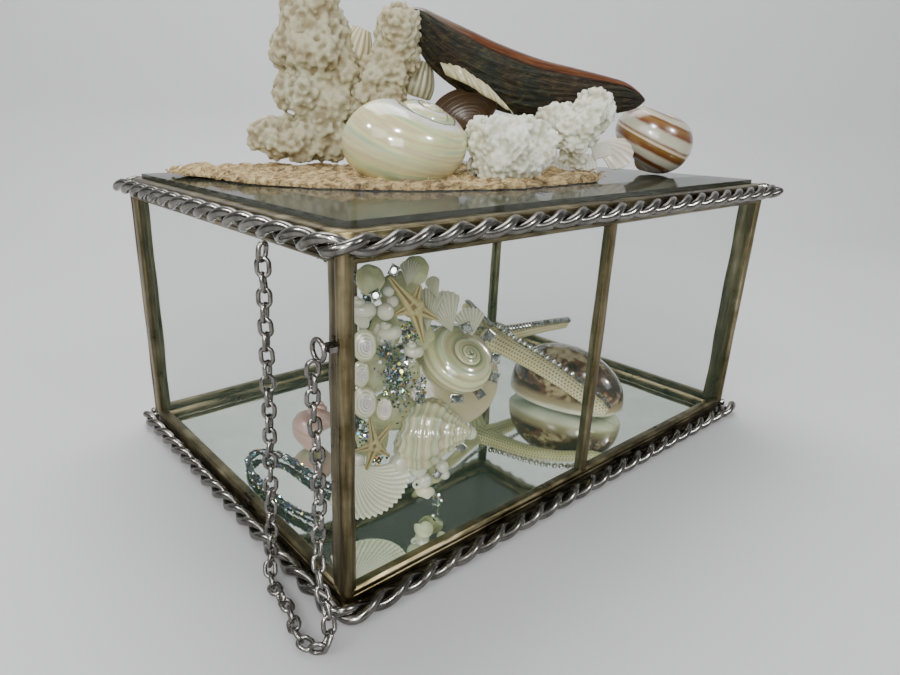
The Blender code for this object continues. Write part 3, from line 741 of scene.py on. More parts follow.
# The chain that holds the lid, as separate links that lie crosswise by turns
CHAIN = [(-10.1, 17.5, 93.4), (-10.1, 18.2, 56.4), (-10.1, 20.8, 13.7), (-9.9, 23.1, 4.5),
         (-10.8, 21.8, 2.2), (-11.9, 17.5, 2.1), (-12.3, 12.7, 2.1), (-12.7, 8.4, 2.1),
         (-14.1, 3.8, 2.1), (-15.5, -0.8, 2.1), (-15.3, -5.1, 2.1), (-13.3, -8.4, 2.1),
         (-10.7, -8.6, 5), (-9.9, -5.4, 10.5), (-9.2, -1.4, 16.5), (-6.8, 2.5, 22.5),
         (-6, 2.8, 31.7), (-6, 3.1, 48), (-6, 4.5, 60), (-6, 4, 68.4)]
LINK_LONG, LINK_WIDE, LINK_WIRE = 5.35, 4.05, 0.60
LINK_PITCH = 3.6
HINGE, HINGE_OPEN = np.array((0.0, 72.4, 92.9)), math.radians(85)


def link(mesh, centre, along, up):
    """One oval link, closed, lying in the plane of its length and its side."""
    side = np.cross(along, up)
    half, reach = LINK_WIDE / 2 - LINK_WIRE, LINK_LONG / 2 - LINK_WIDE / 2
    points = []
    for t in np.linspace(0, TAU, 18, endpoint=False):
        c = math.cos(t)
        ahead = half * c + reach * (1 if c > 1e-6 else -1 if c < -1e-6 else 0)
        points.append(centre + along * ahead + side * half * math.sin(t))
    tube(mesh, points, LINK_WIRE, 8, closed=True, first=up)


def build_chain():
    path = even([(x - HX, y - HY, z) for x, y, z in CHAIN], LINK_PITCH)
    along, up, side = carry(path, first=(0.0, 1.0, 0.2))
    rng = np.random.default_rng(3)
    # with the lid up the links would run from the lid to the ring; each link's share of the lid's turn is
    # worked out and picks whether it rides the lid, the box or neither
    c, s = math.cos(HINGE_OPEN), math.sin(HINGE_OPEN)
    turn = np.array(((1.0, 0.0, 0.0), (0.0, c, s), (0.0, -s, c)))
    lifted = (path - HINGE) @ turn.T + HINGE
    share = np.linspace(0.0, 1.0, len(path))
    target = lifted[0] + (path[-1] - lifted[0]) * share[:, None]
    move = lifted - path
    follow = np.clip(np.sum((target - path) * move, axis=1) / np.sum(move * move, axis=1), 0, 1)
    follow[0], follow[-1] = 1.0, 0.0
    follow = np.minimum.accumulate(follow)
    for i in range(len(path)):
        roll = math.radians(45 if i % 2 else -45) + rng.normal(0, 0.16)
        tilt = rng.normal(0, 0.05, 3)
        way = unit(along[i] + tilt)
        top = up[i] * math.cos(roll) + side[i] * math.sin(roll)
        top = unit(top - way * np.dot(top, way))
        mesh = Mesh()
        link(mesh, path[i], way, top)
        body = "lid" if follow[i] > 0.999 else "box" if follow[i] < 0.001 else None
        ob = make("chain_link_%02d" % i, mesh, STEEL, body, ("chain",))
        if body is None:
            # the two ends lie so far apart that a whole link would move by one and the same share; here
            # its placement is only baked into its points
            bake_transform(ob)

    hook = Mesh()
    plate = section([(-4.3, -0.5, 0.4), (-1.6, -0.5, 0.1), (-1.6, 3.6, 0.3), (-4.3, 3.6, 0.6)], 4)
    upright(hook, plate, -HX, -HY, 73.0, 74.3, step=0.4)
    ring = [(-HX - 4.9, -HY + 3.3 + 2.5 * math.cos(t), 72.9 + 2.5 * math.sin(t))
            for t in np.linspace(0, TAU, 28, endpoint=False)]
    tube(hook, ring, 0.62, 10, closed=True)
    make("chain_ring", hook, STEEL, "box", ("chain_hook",), sharp=50)


build_chain()

# Glass, mirror and hinges keep their CAD shapes and take a better material
PANE = glass_look("pane_glass", (0.13, 0.25, 0.155), 0.065)
# the lid's glass is drawn dark and mostly opaque, standing in for the dark look the clear glass has from
# this low angle: painted reflection
LID_GLASS = glass_look("lid_glass", (0.045, 0.052, 0.035), 0.80, 0.07)
LID_GLASS.set(specular_ior_level=0.14)


def mirror_look():
    look = Look("mirror_glass", 0.02, 1.0)
    haze = look.noise(60.0, 5, 0.65)
    look.colour(look.ramp(haze, (0.3, (0.66, 0.72, 0.66)), (0.7, (0.76, 0.81, 0.75))))
    specks = look.ramp(look.cells(420.0), (0.02, 0.35), (0.05, 0.02))
    look.rough(look.math("ADD", specks, look.span(haze, 0.3, 0.8, 0.0, 0.05)))
    return look.mat


def dress(look, *names):
    for name in names:
        node = NODES[name]
        for index in range(max(1, len(node.material_slots))):
            if node.material_slots:
                node.material_slots[index].material = look
            else:
                node.data.materials.append(look)


dress(PANE.mat, "pane_front_left", "pane_front_right", "pane_back_left", "pane_back_right",
      "pane_left", "pane_right")
dress(LID_GLASS.mat, "lid_glass")
dress(mirror_look(), "mirror_floor")
for tag in ("left", "right"):
    dress(CAME_X, "hinge_leaf_" + tag, "hinge_knuckle_" + tag)
    dress(STEEL, "hinge_pin_" + tag)


# Shared forms
def waves(points, size, seed, layers=3):
    """Smooth random heights, about -1 to 1, with features of a given size."""
    rng = np.random.default_rng(seed)
    points = np.asarray(points, float)
    total = np.zeros(len(points))
    weight = 0.0
    for k in range(layers):
        for _ in range(5):
            way = unit(rng.normal(0, 1, 3))
            total += np.sin(points @ way * TAU / size * 2 ** k + rng.uniform(0, TAU)) / 2 ** k
        weight += 2.2 / 2 ** k
    return total / weight


def spiral(mesh, centre, axis, radius, turns, grow, offset, tall, rise, steps, sides, hand=1,
           ribs=0, rib=0.0, cords=0, cord=0.0, fit=(1.0, 1.0, 1.0), start=0.0, toward=None):
    """A coiled shell: a tube that grows as it winds. The widest turn has the given radius.

    axis points to the tip. Shade runs along the winding and tone goes round the tube.
    """
    total = int(turns * steps) + 1
    turn = np.linspace(0, turns * TAU, total)
    rows = basis(axis)
    if toward is not None:
        start = math.atan2(np.dot(toward, rows[1]), np.dot(toward, rows[0])) - hand * turns * TAU
    size = grow ** ((turn - turn[-1]) / TAU)
    around_tube = TAU * np.arange(sides) / sides
    wide = 1.0 - offset
    bump = np.ones((total, sides))
    if ribs:
        bump += rib * (0.5 + 0.5 * np.cos(ribs * turn))[:, None] ** 2
    if cords:
        bump += cord * np.cos(cords * around_tube)[None, :]
    out = (offset + wide * np.cos(around_tube)[None, :] * bump) * size[:, None]
    up = -rise * size[:, None] + tall * np.sin(around_tube)[None, :] * bump * size[:, None]
    angle = turn[:, None] * hand + start
    verts = np.stack((out * np.cos(angle), out * np.sin(angle), up), axis=2) * radius
    flat = verts.reshape(-1, 3)
    middle = np.array((0, 0, (flat[:, 2].min() + flat[:, 2].max()) / 2))
    world = (flat - middle) * fit @ rows + np.asarray(centre, float)
    base = mesh.count
    faces = quads(total, sides)
    if hand < 0:
        faces = faces[:, ::-1]
    mesh.add(world, faces, np.repeat(turn / turn[-1], sides), np.tile(around_tube / TAU, total))
    # close the mouth with a dish and the tip with a cap
    ring = world.reshape(total, sides, 3)[-1]
    heart = ring.mean(axis=0)
    inner = heart + (ring - heart) * 0.80
    back = world.reshape(total, sides, 3)[-1 - steps // 5].mean(axis=0)
    deep = back + (inner - heart) * 0.55
    mouth = np.vstack((ring, inner, deep, back[None, :]))
    faces = []
    for k in range(2):
        for j in range(sides):
            i = (j + 1) % sides
            faces.append((k * sides + j, k * sides + i, (k + 1) * sides + i, (k + 1) * sides + j))
    for j in range(sides):
        faces.append((2 * sides + j, 2 * sides + (j + 1) % sides, 3 * sides, 3 * sides))
    faces = [f[:3] if f[2] == f[3] else f for f in faces]
    depth = np.concatenate((np.full(sides * 2, 1.0), np.full(sides + 1, 0.0)))
    where = mesh.count
    mesh.verts.append(mouth)
    mesh.faces.append([[i + where for i in (f if hand > 0 else f[::-1])] for f in faces])
    mesh.shade.append(depth)
    mesh.tone.append(np.full(len(mouth), 0.5))
    mesh.count += len(mouth)
    mesh.faces.append([[base + j for j in range(sides)][::-hand]])


def outside(spots, spheres):
    """Distance of each spot outside each ball (x, y, z, radius)."""
    return np.linalg.norm(spots[:, None, :] - spheres[None, :, :3], axis=2) - spheres[None, :, 3]


def scatter(spheres, gap, seed):
    """Evenly spread places on the outside of a cluster of balls, with their normals."""
    rng = np.random.default_rng(seed)
    spheres = np.asarray(spheres, float)
    found, ways = [], []
    for x, y, z, r in spheres:
        count = int(4 * math.pi * r * r / (gap * gap) * 6)
        way = units(rng.normal(0, 1, (count, 3)))
        spot = way * r + (x, y, z)
        keep = outside(spot, spheres).min(axis=1) > -0.12 * r
        found.append(spot[keep])
        ways.append(way[keep])
    found, ways = np.vstack(found), np.vstack(ways)
    order = rng.permutation(len(found))
    found, ways = found[order], ways[order]
    cells, chosen = {}, []
    for i, spot in enumerate(found):
        key = tuple((spot // gap).astype(int))
        near = (cells.get((key[0] + a, key[1] + b, key[2] + c), ())
                for a in (-1, 0, 1) for b in (-1, 0, 1) for c in (-1, 0, 1))
        if any(np.dot(spot - found[j], spot - found[j]) < gap * gap for part in near for j in part):
            continue
        cells.setdefault(key, []).append(i)
        chosen.append(i)
    return found[chosen], ways[chosen], rng


# Coral: each stands on the lid as a cluster of lumps that is covered with small knobs
TALL = [(312, -2, 16, 0), (301.2, 6, 20, 2), (319.6, 8, 17, -2), (325.7, 23.0, 18.4, 1),
        (304.3, 26.0, 23.0, 0), (292.0, 44.4, 19.1, 0), (305.8, 50.5, 18.4, -3),
        (285.9, 55.1, 13.8, 2), (322.7, 35.2, 23.0, -1), (334.9, 38.3, 16.8, 4),
        (325.7, 53.6, 16.8, -4), (344.1, 50.5, 15.3, 3), (341.0, 67.4, 16.8, 0),
        (305.8, 67.4, 13.8, 1), (322.7, 71.9, 18.4, 0), (347.1, 76.5, 12.2, -3),
        (299.7, 82.7, 13.8, 2), (289.0, 90.3, 15.3, 1), (285.9, 99.5, 9.2, 0),
        (304.3, 94.9, 16.8, -3), (322.7, 88.8, 16.8, 0), (338.0, 90.3, 15.3, 0),
        (313.5, 107.1, 16.8, 0), (331.8, 107.1, 16.8, -2), (345.6, 99.5, 12.2, 0),
        (325.7, 122.5, 16.8, 0), (339.5, 125.5, 13.8, 2), (263.0, 136.2, 13.5, -1),
        (272.1, 130.1, 12.2, 1), (278.3, 142.4, 14.5, -2), (290.5, 133.2, 15.3, 0),
        (299.7, 145.4, 15.3, -2), (308.9, 131.6, 16.8, 0), (318.1, 143.9, 15.3, -2),
        (328.8, 136.2, 16.8, 0), (334.9, 146.9, 12.2, 0), (341.0, 137.8, 13.8, 0)]
FINGER = [(398.4, 14.5, 9.9, 0), (390.0, 23.0, 11.5, 1), (407.6, 21.4, 11.5, -1),
          (399.2, 30.6, 16.8, 0), (386.9, 35.2, 11.5, 1), (413.0, 35.2, 9.5, 1),
          (399.2, 45.9, 16.1, 0), (382.4, 49.0, 9.9, 0), (409.9, 50.5, 8.4, 1),
          (397.7, 59.7, 13.8, 0), (408.4, 64.3, 9.2, 0), (383.9, 62.8, 10.7, -1),
          (371.6, 67.4, 9.9, 0), (386.9, 73.5, 13.0, 0), (399.2, 78.1, 7.7, -2),
          (373.2, 81.1, 12.2, -1), (386.9, 87.2, 12.2, 0), (367.0, 94.9, 13.0, 0),
          (380.8, 99.5, 13.0, -1), (394.6, 98.0, 11.5, 0), (359.4, 105.6, 10.7, 0),
          (371.6, 110.2, 11.5, 0), (385.4, 112.0, 12.2, 0), (376.0, 128.0, 12.0, 0),
          (378.0, 144.0, 11.0, 0)]
FRONT = [(479.8, 131.0, 12.4, 2), (494.7, 131.0, 13.3, 0), (509.7, 129.4, 12.4, 1),
         (522.9, 128.5, 11.6, 0), (537.8, 132.7, 11.6, 1), (547.8, 142.6, 10.3, 0),
         (483.1, 145.9, 13.3, 2), (498.0, 145.9, 15.8, -2), (514.6, 147.6, 16.6, -3),
         (531.2, 145.9, 15.8, -1), (542.8, 154.2, 12.4, 0), (486.4, 160.9, 12.4, 0),
         (501.4, 164.2, 15.8, -3), (517.9, 162.5, 14.9, -2), (532.9, 162.5, 12.4, 0),
         (489.8, 173.5, 10.8, -2), (503.0, 173.5, 10.0, -1), (473.2, 142.6, 6.6, 5),
         (474.8, 165.8, 7.5, 3)]
SMALL = [(544.5, 116.1, 8.3, 0), (556.1, 116.1, 10.3, 0), (567.7, 114.4, 10.0, 1),
         (585.9, 99.5, 8.3, 0), (595.9, 97.8, 8.6, -1), (604.2, 102.8, 8.0, 0),
         (582.6, 111.1, 10.0, -1), (594.2, 111.1, 12.4, -3), (605.8, 114.4, 8.0, 0),
         (567.7, 127.7, 13.3, -2), (582.6, 126.0, 14.9, -3), (597.5, 124.4, 10.0, 0),
         (562.7, 137.6, 10.8, 0), (576.0, 141.0, 13.3, -2), (587.6, 137.6, 9.1, 0),
         (572.7, 150.9, 7.5, 0), (554.4, 127.7, 10.0, 2), (570.0, 155.0, 9.0, 2),
         (578.0, 160.0, 8.0, 3)]


def coral_look(name, pale, warm, low, stained_shade):
    look = Look(name, 0.8, 0.0)
    height = look.attr("shade")
    stain = look.noise(95.0, 4, 0.6)
    fine = look.noise(900.0, 4, 0.6)
    # knob tips take the pale colours and the hollows between them the low, darker ones, with stains
    # varied by noise in both: the darker hollows are painted shade
    tip = look.mix(look.span(stain, 0.42, 0.66), pale, warm)
    deep = look.mix(look.span(stain, 0.35, 0.6), low, stained_shade)
    body = look.mix(look.span(height, 0.15, 0.72), deep, tip)
    pores = look.ramp(look.cells(1100.0), (0.0, 0.55), (0.35, 1.0))
    look.colour(look.mix(0.35, body, pores, "MULTIPLY"))
    look.set(subsurface_weight=0.22, subsurface_scale=0.0015, subsurface_radius=(1.0, 0.85, 0.6))
    look.bump(fine, 0.35, 0.00025)
    look.bump(look.cells(1100.0), 0.35, 0.0002)
    return look.mat


CORAL_OLD = coral_look("coral_old", (0.55, 0.53, 0.36), (0.44, 0.38, 0.22), (0.26, 0.225, 0.115),
                       (0.28, 0.22, 0.11))
CORAL_WHITE = coral_look("coral_white", (0.84, 0.86, 0.74), (0.76, 0.76, 0.58), (0.60, 0.61, 0.46),
                         (0.50, 0.48, 0.32))


def coral(kind, lumps, anchor, gap, knob, look, seed, voxel):
    """Lumps are (pixel x, pixel y, radius in pixels, depth behind the anchor's plane)."""
    put = facing(anchor)
    rng = np.random.default_rng(seed)
    core = []
    for px, py, r, back in lumps:
        spot = put(px, py, back * 1.3 + rng.normal(0, 1.0))
        reach = float(np.dot(spot - EYE, AHEAD)) / FOCAL
        core.append((*spot, max(1.2, r * reach - knob * 0.25)))
    mesh = Mesh()
    for x, y, z, r in core:
        balls(mesh, (x, y, z), r, 3)
    places, normals, rng = scatter(core, gap, seed)
    ways = normals + rng.normal(0, 0.30, normals.shape) + (0, 0, 0.10)
    sizes = knob * rng.choice((0.65, 0.85, 1.05, 1.30), len(places), p=(0.2, 0.35, 0.3, 0.15))
    keep = places[:, 2] > SHELF + 0.8
    balls(mesh, places[keep], sizes[keep], 1, ways[keep], 1.55)
    mesh = melted(mesh, voxel, 1)
    spots = mesh.verts[0]
    away = outside(spots, np.array(core))
    # shade is each point's height above the core lumps; the coral material paints low values darker:
    # painted shade in the hollows
    mesh.shade.append(np.clip(away.min(axis=1) / (knob * 1.35), 0.0, 1.0))
    mesh.tone.append(np.full(len(spots), 0.5))
    spots[:, 2] = np.maximum(spots[:, 2], SHELF + GAP)
    make("coral_%s_branch" % kind, mesh, look, "lid", ("coral_" + kind,))


for seed, (kind, lumps, anchor, gap, knob, look, voxel) in enumerate((
        ("tall", TALL, (-48.7, 20.5, 103), 1.52, 1.26, CORAL_OLD, 0.56),
        ("finger", FINGER, (-33, 2.5, 103), 1.32, 1.10, CORAL_OLD, 0.46),
        ("front", FRONT, (-17, -43, 103), 1.22, 1.0, CORAL_WHITE, 0.42),
        ("small", SMALL, (12.5, -41, 103), 1.25, 1.0, CORAL_WHITE, 0.42)), start=1):
    coral(kind, lumps, anchor, gap, knob, look, seed, voxel)


# Bark: a ragged flat piece under the shells
def bark_look():
    look = Look("bark", 0.9, 0.0)
    grain = look.noise(230.0, 6, 0.7, look.where((1.0, 2.4, 2.4), (0, 0, -35)), 0.6)
    pits = look.cells(520.0, look.where((1.0, 1.7, 1.7), (0, 0, -35)))
    tint = look.ramp(grain, (0.34, (0.07, 0.038, 0.014)), (0.44, (0.29, 0.185, 0.07)),
                     (0.56, (0.62, 0.46, 0.21)), (0.74, (0.80, 0.66, 0.37)))
    hole = look.ramp(pits, (0.05, (0.12, 0.09, 0.06)), (0.26, (1, 1, 1)))
    look.colour(look.mix(0.85, tint, hole, "MULTIPLY"))
    look.bump(grain, 0.8, 0.0007)
    look.bump(pits, 0.6, 0.0005)
    return look.mat


BARK_EDGE = [(-92, 47), (-88, 20), (-85, -3), (-66, -30), (-46, -43), (-24, -50), (4, -50),
             (24, -46), (24, -25), (6, -2), (-20, 12), (-60, 36)]


def build_bark():
    mesh = Mesh()
    edge = curve([(x, y, 0) for x, y in BARK_EDGE], 0.85, closed=True)
    ragged = waves(edge, 9.0, 5) * 0.9 + waves(edge, 2.6, 6, 2) * 0.55
    heart = np.array((-38, -8, 0.0))
    edge = edge + units(edge - heart) * (ragged - 0.9)[:, None]
    rings = np.concatenate((np.linspace(0.0, 0.90, 44), np.linspace(0.92, 1.0, 8)))
    rows, cols = len(rings), len(edge)
    flat = heart + (edge - heart)[None, :, :] * rings[:, None, None]
    points = flat.reshape(-1, 3)
    turned = np.stack((points[:, 0] * 0.25 - points[:, 1] * 0.2, points[:, 0] * 0.6 + points[:, 1],
                       points[:, 2]), axis=1)
    height = 2.15 + waves(turned, 3.0, 7) * 1.05 + waves(points, 11.0, 8) * 0.5
    thin = np.clip((1.0 - rings) / 0.07, 0, 1) ** 0.55
    height = 0.45 + np.maximum(height, 0.6) * np.repeat(0.35 + 0.65 * thin, cols)
    top = points + (0, 0, SHELF)
    top[:, 2] += height
    low = edge + (0, 0, SHELF + GAP)
    verts = np.vstack((top, low))
    faces = quads(rows, cols)[:, ::-1].tolist()
    last = (rows - 1) * cols
    for j in range(cols):
        i = (j + 1) % cols
        faces.append((last + i, last + j, rows * cols + j, rows * cols + i)[::-1])
    mesh.add(verts, faces, 0.5)
    rng = np.random.default_rng(11)
    # splinters and curled strips along the edge that faces the camera
    spots = [i for i in range(cols) if edge[i][1] < 10 or edge[i][0] < -80]
    for _ in range(170):
        here = edge[rng.choice(spots)] + (rng.uniform(0, 5), rng.uniform(0, 5), 0)
        way = unit((rng.normal(0.75, 0.4), rng.normal(-0.5, 0.45), rng.uniform(0.0, 0.5)))
        length = rng.uniform(2.0, 9.0)
        path = [here + (0, 0, SHELF + 1.2 + rng.uniform(0, 1.2)) + way * length * t
                + np.array((0, 0, -1.4 * t * t + 0.25 * math.sin(5 * t + rng.uniform(0, 3))))
                for t in np.linspace(-0.5, 0.5, 7)]
        path = np.array(path)
        path[:, 2] = np.maximum(path[:, 2], SHELF + 2 * GAP)
        tube(mesh, path, rng.uniform(0.18, 0.60) * np.linspace(1.0, 0.4, 7), 5)
    make("bark", mesh, bark_look(), "lid", ("driftwood",), sharp=60)


build_bark()


# Pearl shells
def pearl_look(name, base, warm, rough, bands, strength):
    """Mother-of-pearl: soft cream with thin pink, green and blue bands along the winding, and near-white
    streaks among them that are painted sheen.
    """
    look = Look(name, rough, 0.0)
    along, across = look.attr("shade"), look.attr("tone")
    spot = look.node("CombineXYZ", X=look.math("MULTIPLY", across, bands),
                     Y=look.math("MULTIPLY", along, 3.0), Z=0.0)
    band = look.noise(1.6, 4, 0.55, spot, 0.3)
    cloud = look.noise(70.0, 4, 0.6)
    # the bands are the nacre's own colours; the near-white stop paints streaks of sheen
    rainbow_and_sheen = look.ramp(band, (0.30, (0.34, 0.50, 0.28)), (0.39, (0.86, 0.84, 0.46)),
                        (0.46, (0.66, 0.44, 0.34)), (0.53, (0.88, 0.86, 0.42)),
                        (0.60, (0.30, 0.52, 0.42)), (0.68, (1.0, 0.99, 0.80)))
    body = look.mix(look.span(cloud, 0.35, 0.68), base, warm)
    look.colour(look.mix(strength * 0.65, body, rainbow_and_sheen))
    look.rough(look.span(cloud, 0.3, 0.7, rough * 0.8, rough * 1.8))
    look.set(coat_weight=0.7, coat_roughness=0.08, subsurface_weight=0.12, subsurface_scale=0.002)
    look.bump(band, 0.05, 0.0004)
    return look


TURBAN = pearl_look("turban_pearl", (0.74, 0.76, 0.38), (0.62, 0.61, 0.29), 0.13, 8.0, 0.75)
TURBAN.suture()
BIG_TURBAN = pearl_look("big_turban_pearl", (0.70, 0.71, 0.38), (0.56, 0.55, 0.26), 0.13, 12.0, 0.6)
BIG_TURBAN.groove_shade(12, 0.30)
PEARL = pearl_look("small_pearl_shells", (0.70, 0.69, 0.43), (0.55, 0.52, 0.30), 0.12, 14.0, 0.55)
PEARL.groove_shade(15, 0.28)


def build_turban():
    mesh = Mesh()
    axis = unit(UP * 0.76 + RIGHT * 0.42 - AHEAD * 0.50)
    spiral(mesh, facing((-43.5, -19.0, 115))(419, 139), axis, 24.0, 3.5, 2.35, 0.46, 0.50, 0.62,
           hand=-1, steps=60, sides=48, toward=-RIGHT * 0.97 - AHEAD * 0.25, fit=(1.0, 0.86, 1.0))
    settle(mesh, 340, 469, 95, 180, SHELF + 0.5)
    make("turban_pearl_shell", mesh, TURBAN.mat, "lid", ("pearl_turban",))


build_turban()


# The long dark shell that leans over the others
def long_look():
    look = Look("long_dark_shell", 0.5, 0.0)
    along, across = look.attr("tone"), look.attr("shade")
    spot = look.node("CombineXYZ", X=look.math("MULTIPLY", along, 7.0),
                     Y=look.math("MULTIPLY", across, 62.0), Z=0.0)
    fibre = look.noise(1.0, 6, 0.7, spot, 0.5)
    patch = look.noise(75.0, 4, 0.6)
    dark = look.ramp(fibre, (0.36, (0.006, 0.004, 0.002)), (0.48, (0.022, 0.015, 0.007)),
                     (0.57, (0.075, 0.045, 0.016)), (0.70, (0.20, 0.14, 0.055)))
    green = look.ramp(fibre, (0.38, (0.005, 0.006, 0.003)), (0.54, (0.026, 0.033, 0.016)),
                      (0.72, (0.10, 0.115, 0.065)))
    face = look.mix(look.span(patch, 0.42, 0.60), dark, green)
    fleck = look.noise(520.0, 5, 0.7, look.where((0.6, 0.6, 1.5), (0, 24, -27)))
    face = look.mix(look.span(fleck, 0.53, 0.66, 0.0, 0.75), face, (0.125, 0.092, 0.03))
    face = look.mix(look.span(fleck, 0.44, 0.34, 0.0, 0.9), face, (0.004, 0.003, 0.001))
    spot = look.node("CombineXYZ", X=look.math("MULTIPLY", along, 9.0),
                     Y=look.math("MULTIPLY", across, 30.0))
    rim = look.ramp(look.noise(1.0, 4, 0.6, spot),
                    (0.3, (0.055, 0.017, 0.005)), (0.55, (0.135, 0.043, 0.014)),
                    (0.75, (0.22, 0.095, 0.035)))
    # shade is the height on the shell: 1 along the smooth upper rim
    edge = look.math("ADD", across, look.math("MULTIPLY", look.math("SUBTRACT", fibre, 0.5), 0.12))
    top = look.span(edge, 0.81, 0.86)
    grey = look.span(along, 0.30, 0.10)
    rim = look.mix(look.math("MULTIPLY", grey, 0.7), rim, (0.19, 0.185, 0.15))
    look.colour(look.mix(top, face, rim))
    look.rough(look.mix(top, (0.72, 0.72, 0.72), (0.26, 0.26, 0.26)))
    look.set(specular_ior_level=0.22)
    below = look.math("SUBTRACT", 1.0, top)
    look.bump(look.math("MULTIPLY", fibre, below), 1.0, 0.0011)
    look.bump(look.math("MULTIPLY", fleck, below), 0.8, 0.0006)
    return look.mat


def build_long_shell():
    top = [(408, 10), (413, 7), (425, 9), (440, 16), (470, 30), (500, 44), (540, 59), (575, 68),
           (606, 76), (625, 82), (638, 91), (645, 99)]
    low = [(410, 14), (412, 30), (419, 50), (432, 69), (455, 88), (480, 103), (510, 114),
           (545, 118), (580, 117), (612, 114), (634, 109), (645, 101)]
    count = 230
    part = np.linspace(0, 1, count)
    high, deep = (curve([(x, y, 0) for x, y in line], 1.6) for line in (top, low))
    high, deep = (np.stack([np.interp(part, np.linspace(0, 1, len(line)), line[:, k])
                            for k in (0, 1)], 1) for line in (high, deep))
    left, right = np.array((-29.5, 3.0, 158)), np.array((52.5, -40.9, 128.4))
    sides = 120
    mesh = Mesh()
    verts = np.zeros((count, sides, 3))
    shade = np.zeros((count, sides))
    for i, t in enumerate(part):
        put = facing(left * (1 - t) + right * t)
        a, b = put(*high[i]), put(*deep[i])
        middle, half = (a + b) / 2, (a - b) / 2
        bulge = 8.6 * (math.sin(math.pi * min(1, t * 0.86 + 0.10)) ** 0.6) * min(1, (1 - t) * 9) ** 0.5
        bulge *= min(1.0, (t + 0.01) * 12) ** 0.5
        for j in range(sides):
            angle = TAU * j / sides
            c, s = math.cos(angle), math.sin(angle)
            out = bulge * s * (1.0 if s > 0 else 0.55)
            shade[i, j] = (c + 1) / 2
            verts[i, j] = middle + half * np.sign(c) * abs(c) ** 1.15 - LEVEL * out
    # fibrous ridges run along the face and leave the rim smooth
    height, tone = shade.ravel(), np.repeat(part, sides)
    sine = np.sin(TAU * np.arange(sides) / sides)
    grid = np.stack((tone * 14.0, height * 34.0, np.tile(sine, count) * 3.0), axis=1)
    ridge = (waves(grid, 2.6, 31, 3) * np.clip((0.90 - height) * 9.0, 0, 1)
             * np.clip((1.0 - tone) * 12.0, 0, 1)).reshape(count, sides)
    verts -= LEVEL * ridge[:, :, None] * 0.42 * np.sign(sine)[None, :, None]
    mesh.add(verts, quads(count, sides)[:, ::-1], height, tone)
    mesh.close(0, count, sides, outward=False)
    make("long_dark_shell", mesh, long_look(), "lid", ("long_shell",))


build_long_shell()


# The striped snail at the right
def stripe_look():
    look = Look("striped_snail", 0.25, 0.0)
    wobble = look.math("MULTIPLY", look.math("SUBTRACT", look.noise(90.0, 3, 0.5), 0.5), 0.035)
    place = look.math("ADD", look.attr("tone"), wobble)
    place = look.math("FRACT", look.math("ADD", place, 0.5))
    cream, brown, ochre = (0.62, 0.59, 0.44), (0.17, 0.046, 0.008), (0.25, 0.135, 0.03)
    peach = (0.78, 0.60, 0.38)
    bands = look.ramp(place, (0.0, peach), (0.27, peach), (0.32, cream), (0.345, brown), (0.37, brown),
                      (0.385, cream), (0.425, cream), (0.44, brown), (0.475, ochre), (0.50, brown),
                      (0.515, cream), (0.565, (0.52, 0.49, 0.36)), (0.58, brown), (0.62, ochre),
                      (0.64, brown), (0.655, cream), (0.70, (0.50, 0.43, 0.27)), (0.715, brown),
                      (0.735, brown), (0.76, (0.62, 0.50, 0.30)), (0.80, peach))
    cloud = look.noise(160.0, 4, 0.6)
    look.colour(look.mix(0.25, bands, look.ramp(cloud, (0.3, 0.6), (0.7, 1.0)), "MULTIPLY"))
    look.set(coat_weight=0.5, coat_roughness=0.15)
    return look.mat


def build_snail():
    mesh = Mesh()
    axis = unit(UP * 0.80 + RIGHT * 0.36 - AHEAD * 0.46)
    spiral(mesh, facing((66.6, -38.4, 113.9))(655, 141), axis, 15.6, 3.4, 1.75, 0.40, 0.62, 0.42,
           steps=60, sides=48, toward=RIGHT * 0.75 + AHEAD * 0.66)
    settle(mesh, 615, 693, 107, 175, SHELF + 0.25)
    make("striped_snail_shell", mesh, stripe_look(), "lid", ("striped_snail",))


build_snail()


# Inside the box: shells that stand as a crown in the near corner, on an upright plane
CROWN_AT, CROWN_OUT = np.array((-70.4, -43.3, 3.1)), np.array((-0.309, -0.951, 0.0))
FACE = unit((-0.60, -0.76, 0.25))


def crown(px, py, out=0.0):
    """A pixel of the photograph on the crown's plane, or a little in front of it."""
    return on_plane(px, py, CROWN_AT + CROWN_OUT * out, CROWN_OUT)


def size_at(px, py):
    """Millimetres per pixel on the crown."""
    return float(np.dot(crown(px, py) - EYE, AHEAD)) / FOCAL


def tilted(right, up, toward):
    """An axis given as seen from the camera: right, up and towards the eye."""
    return unit(RIGHT * right + UP * up - AHEAD * toward)


WHITE_PEARL = pearl_look("white_snails", (0.74, 0.74, 0.60), (0.60, 0.58, 0.42), 0.22, 5.0, 0.12)
CREAM = pearl_look("cream_shells", (0.88, 0.85, 0.62), (0.76, 0.69, 0.44), 0.32, 7.0, 0.18)


def button_look():
    look = Look("button_pearl", 0.16, 0.0)
    along = look.attr("shade")
    rings = look.ramp(along, (0.0, (0.62, 0.54, 0.50)), (0.10, (0.46, 0.38, 0.38)),
                      (0.18, (0.66, 0.60, 0.54)), (0.28, (0.44, 0.37, 0.37)), (0.36, (0.74, 0.70, 0.60)),
                      (0.46, (0.50, 0.44, 0.42)), (0.54, (0.72, 0.71, 0.50)), (0.68, (0.56, 0.53, 0.35)),
                      (0.76, (0.72, 0.71, 0.50)), (1.0, (0.52, 0.50, 0.29)))
    look.colour(rings)
    look.set(coat_weight=0.8, coat_roughness=0.07)
    return look.mat


BUTTON = button_look()


